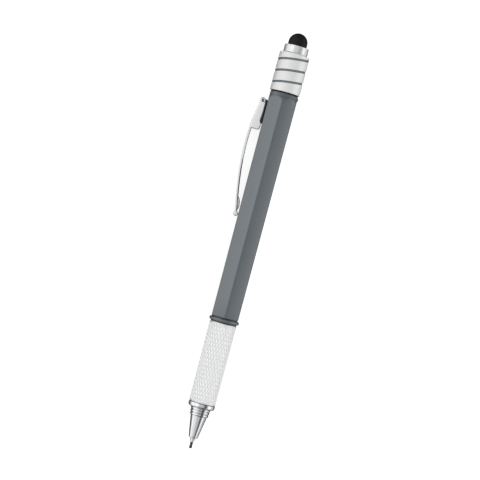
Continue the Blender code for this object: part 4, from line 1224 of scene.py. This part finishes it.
# The arm runs from the curl between its flanges, then narrows down to the dimple and the bead
arm_rings = []
for k in range(49):
    outer, inward = arm_at(mixed(FLANGE_START, FLANGE_END, k / 48))
    foot = CLIP_SHEET / 2 + FLANGE_REACH * between(FLANGE_SHARES, k / 48)
    arm_rings.append(stamping_ring(outer, inward, CLIP_HALF_WIDTH, foot=foot))
meeting = asin(CLIP_SHEET / 2 / BEAD_ROUND)
arm_end = CLIP_LENGTH - BEAD_ROUND - BEAD_ROUND * cos(meeting)
arm_halves = ((FLANGE_END, CLIP_HALF_WIDTH), (arm_end, CLIP_END_HALF))
for k in range(97):
    level = mixed(FLANGE_END, arm_end, k / 96)
    down = level + RING_STEP
    outer, inward = arm_at(down)
    arm_rings.append(stamping_ring(
        outer,
        inward,
        between(arm_halves, level),
        dimple=1 - ((down - DIMPLE_DOWN) / DIMPLE_HALF) ** 2,
        rounding=0.15,
        chamfer=between(CHAMFER_SHARES, down / CLIP_LENGTH),
    ))
end_way = Vector((-inward.y, inward.x))
bead_outer = outer + end_way * BEAD_ROUND * cos(meeting)
for k in range(1, 20):
    angle = mixed(meeting, pi - BEAD_OPENING, k / 19)
    thick = BEAD_ROUND * sin(angle)
    arm_rings.append(stamping_ring(
        bead_outer - end_way * BEAD_ROUND * cos(angle),
        inward,
        CLIP_END_HALF * (1 - BEAD_NARROWING * max(0, -cos(angle)) ** 3),
        face=CLIP_SHEET / 2 - thick,
        back=CLIP_SHEET / 2 + thick,
        chamfer=mixed(LOWER_CHAMFER, SHEET_EDGE, min(1, k / 8)),
    ))
arm = finished_piece("clip_arm", lofted(arm_rings), clip_chrome, sharp=40)


def on_inner_edge(place, normal):
    """Whether a face is an edge towards the barrel, on the flanges' lobes or the arm's lower half. These
    edges are painted dark as painted shade.
    """
    down = clip_top - place.z
    lobe = mixed(FLANGE_START, FLANGE_END, LOBE_SHARE) < down < FLANGE_END + SHEET_EDGE
    return slanted(normal) and normal.dot(clip_way) < -0.3 and (lobe or down > CLIP_LENGTH * LOWER_SHARE)


def on_inner_face(place, normal):
    """Whether a face is on the arm's inner side, in its upper half or behind the dimple. These faces are
    painted light: pale and nearly without metal, so they look lit.
    """
    down = clip_top - place.z
    inner = normal.dot(clip_way) < -0.1 and abs(place.y) < between(arm_halves, down) - INNER_MARGIN
    return inner and (down < CLIP_LENGTH * LOWER_SHARE or abs(down - DIMPLE_DOWN) < DIMPLE_HALF)


finish_faces(arm, clip_satin, on_side)
# The arm's edges towards the barrel take the dark steel: painted shade between the clip and the barrel
finish_faces(arm, steel, on_inner_edge)
# The inner face's upper half and the dimple are painted light, pale and nearly without metal, so they look
# lit though they face the barrel
finish_faces(arm, polished("painted_light_inner_face", PAINTED_LIGHT_SILVER, 0.5, metallic=0.1), on_inner_face)
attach(arm, "clip")
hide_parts("pocket_clip")

# Floor, light and camera. A pale plain table under the pen, soft lamps over it, and the view of the
# photograph: square on to the pen's middle, from over the barrel's edge.
FLOOR_HALF = 1.2
FLOOR_DROP = 0.00002
FLOOR_COLOUR = (0.34, 0.34, 0.34, 1)
FLOOR_PAINTED_SHADOW = (0.12, 0.12, 0.12, 1)
FLOOR_GLOW = 0.85
PAINTED_SHADOW_LEFT = (0.008, 0.02)
PAINTED_SHADOW_RIGHT = (0.03, 0.09)
WHITE = (1, 1, 1, 1)
ROOM_DIFFUSE = 0.98
ROOM_ENDS = 0.92
CAMERA_TILT = radians(2.2)
CAMERA_DISTANCE = 0.6108
CAMERA_LENS = 131
PEN_LEAN = radians(14.9)
IMAGE_WIDTH = 480
SENSOR_WIDTH = 36
PEN_MIDDLE_PIXEL = (245.3, 241.0)

# The room's brightness round the pen, by the bearing from the camera: degrees to the right, and strength
ROOM = (
    (-100, 0.50), (-66, 0.88), (-38, 0.98), (-20, 0.70), (-5, 0.56), (10, 0.62), (23, 0.40),
    (31, 0.11), (49, 0.11), (57, 0.58), (65, 1.02), (84, 1.12), (95, 0.40), (110, 0.22),
)


def table_finish():
    """Pale and plain to the camera. Close to the pen, what the metal mirrors of the table carries a painted
    shadow: dark, and without glow.
    """
    finish, start = new_finish("pale_table", {"Roughness": 0.9, "Specular IOR Level": 0.1})
    seen = start.node("ShaderNodeLightPath", output="Is Camera Ray")
    mirrored = start.node("ShaderNodeLightPath", output="Is Glossy Ray")
    place = start.node("ShaderNodeTexCoord", output="Object")
    leftward = start.node("ShaderNodeSeparateXYZ", {"Vector": place}, output="Y") - pen_foot.y
    # A painted shadow along the pen, wider on its right, that only mirrored rays see dark
    away = leftward.clamped(*PAINTED_SHADOW_LEFT) + (0 - leftward).clamped(*PAINTED_SHADOW_RIGHT)
    strength = (seen + mirrored * away) * FLOOR_GLOW
    glow = start.node("ShaderNodeEmission", {"Color": WHITE, "Strength": strength})
    plain = Field(finish.node_tree, finish.node_tree.nodes["Principled BSDF"].outputs["BSDF"])
    both = start.node("ShaderNodeAddShader", {0: plain, 1: glow})
    finish.node_tree.links.new(both.socket, finish.node_tree.nodes["Material Output"].inputs["Surface"])
    return feed(finish, {"Base Color": (mirrored * (1 - away)).blend(FLOOR_COLOUR, FLOOR_PAINTED_SHADOW)})


def studio():
    """A white room, with a dark card beyond the pen's right side that gives the metal its dark bands."""
    world = bpy.data.worlds.new("studio")
    world.use_nodes = True
    start = Field(world.node_tree)
    toward = start.node("ShaderNodeTexCoord", output="Generated")
    parts = []
    for way in (side_way, camera_way, pen_way):
        pair = {0: toward, 1: way}
        parts.append(start.node("ShaderNodeVectorMath", pair, {"operation": "DOT_PRODUCT"}, output="Value"))
    bearing = start.math("ARCTAN2", parts[0], parts[1]) / tau + 0.5
    stops = [((degrees + 180) / 360, strength) for degrees, strength in ROOM]
    room = start.node("ShaderNodeValToRGB", {"Fac": bearing}, {"stops": stops})
    ends = 1 - start.math("ABSOLUTE", parts[2]).clamped(0.5, 0.85) * ROOM_ENDS
    seen = start.node("ShaderNodeLightPath", output="Is Camera Ray")
    mirrored = start.node("ShaderNodeLightPath", output="Is Glossy Ray")
    lit = mirrored * room * ends + (1 - mirrored) * ROOM_DIFFUSE
    strength = seen + (1 - seen) * lit
    sky = world.node_tree.nodes["Background"]
    world.node_tree.links.new(strength.socket, sky.inputs["Strength"])
    sky.inputs["Color"].default_value = WHITE
    return world


def lamp(name, away, power):
    """A square soft lamp, one metre wide, that faces the pen's middle."""
    made = placed(name, bpy.data.lights.new(name, "AREA"))
    made.data.size = 1.0
    made.data.energy = power
    made.location = away
    made.rotation_euler = away.to_track_quat("Z", "Y").to_euler()


floor_mesh = bpy.data.meshes.new("floor")
corners = ((-1, -1), (1, -1), (1, 1), (-1, 1))
floor_mesh.from_pydata([(x * FLOOR_HALF, y * FLOOR_HALF, -FLOOR_DROP) for x, y in corners], [], [range(4)])
floor_mesh.materials.append(table_finish())
floor = placed("floor", floor_mesh)

camera_way = Matrix.Rotation(CAMERA_TILT, 3, pen_way) @ viewer_way
side_way = pen_way.cross(camera_way)
image_right = pen_way * sin(PEN_LEAN) + side_way * cos(PEN_LEAN)
image_up = pen_way * cos(PEN_LEAN) - side_way * sin(PEN_LEAN)
bpy.context.scene.world = studio()
lamp("left_softbox", Vector((0.2, 1.25, 0.6)), 1.5)
lamp("right_softbox", Vector((0.1, -1.25, 0.55)), 1.1)

camera = placed("camera", bpy.data.cameras.new("camera"))
camera.data.lens = CAMERA_LENS
camera.data.sensor_width = SENSOR_WIDTH
camera.data.clip_start = 0.01
pen_middle = pen_foot + pen_way * (dome_high / 2)
pixel = CAMERA_DISTANCE * SENSOR_WIDTH / CAMERA_LENS / IMAGE_WIDTH
middle_right = (PEN_MIDDLE_PIXEL[0] - IMAGE_WIDTH / 2) * pixel
middle_down = (PEN_MIDDLE_PIXEL[1] - IMAGE_WIDTH / 2) * pixel
camera_place = Matrix((image_right, image_up, camera_way)).transposed().to_4x4()
camera_place.translation = (
    pen_middle + camera_way * CAMERA_DISTANCE - image_right * middle_right + image_up * middle_down
)
camera.matrix_world = camera_place
bpy.context.scene.camera = camera
bpy.context.scene.view_settings.view_transform = "Standard"
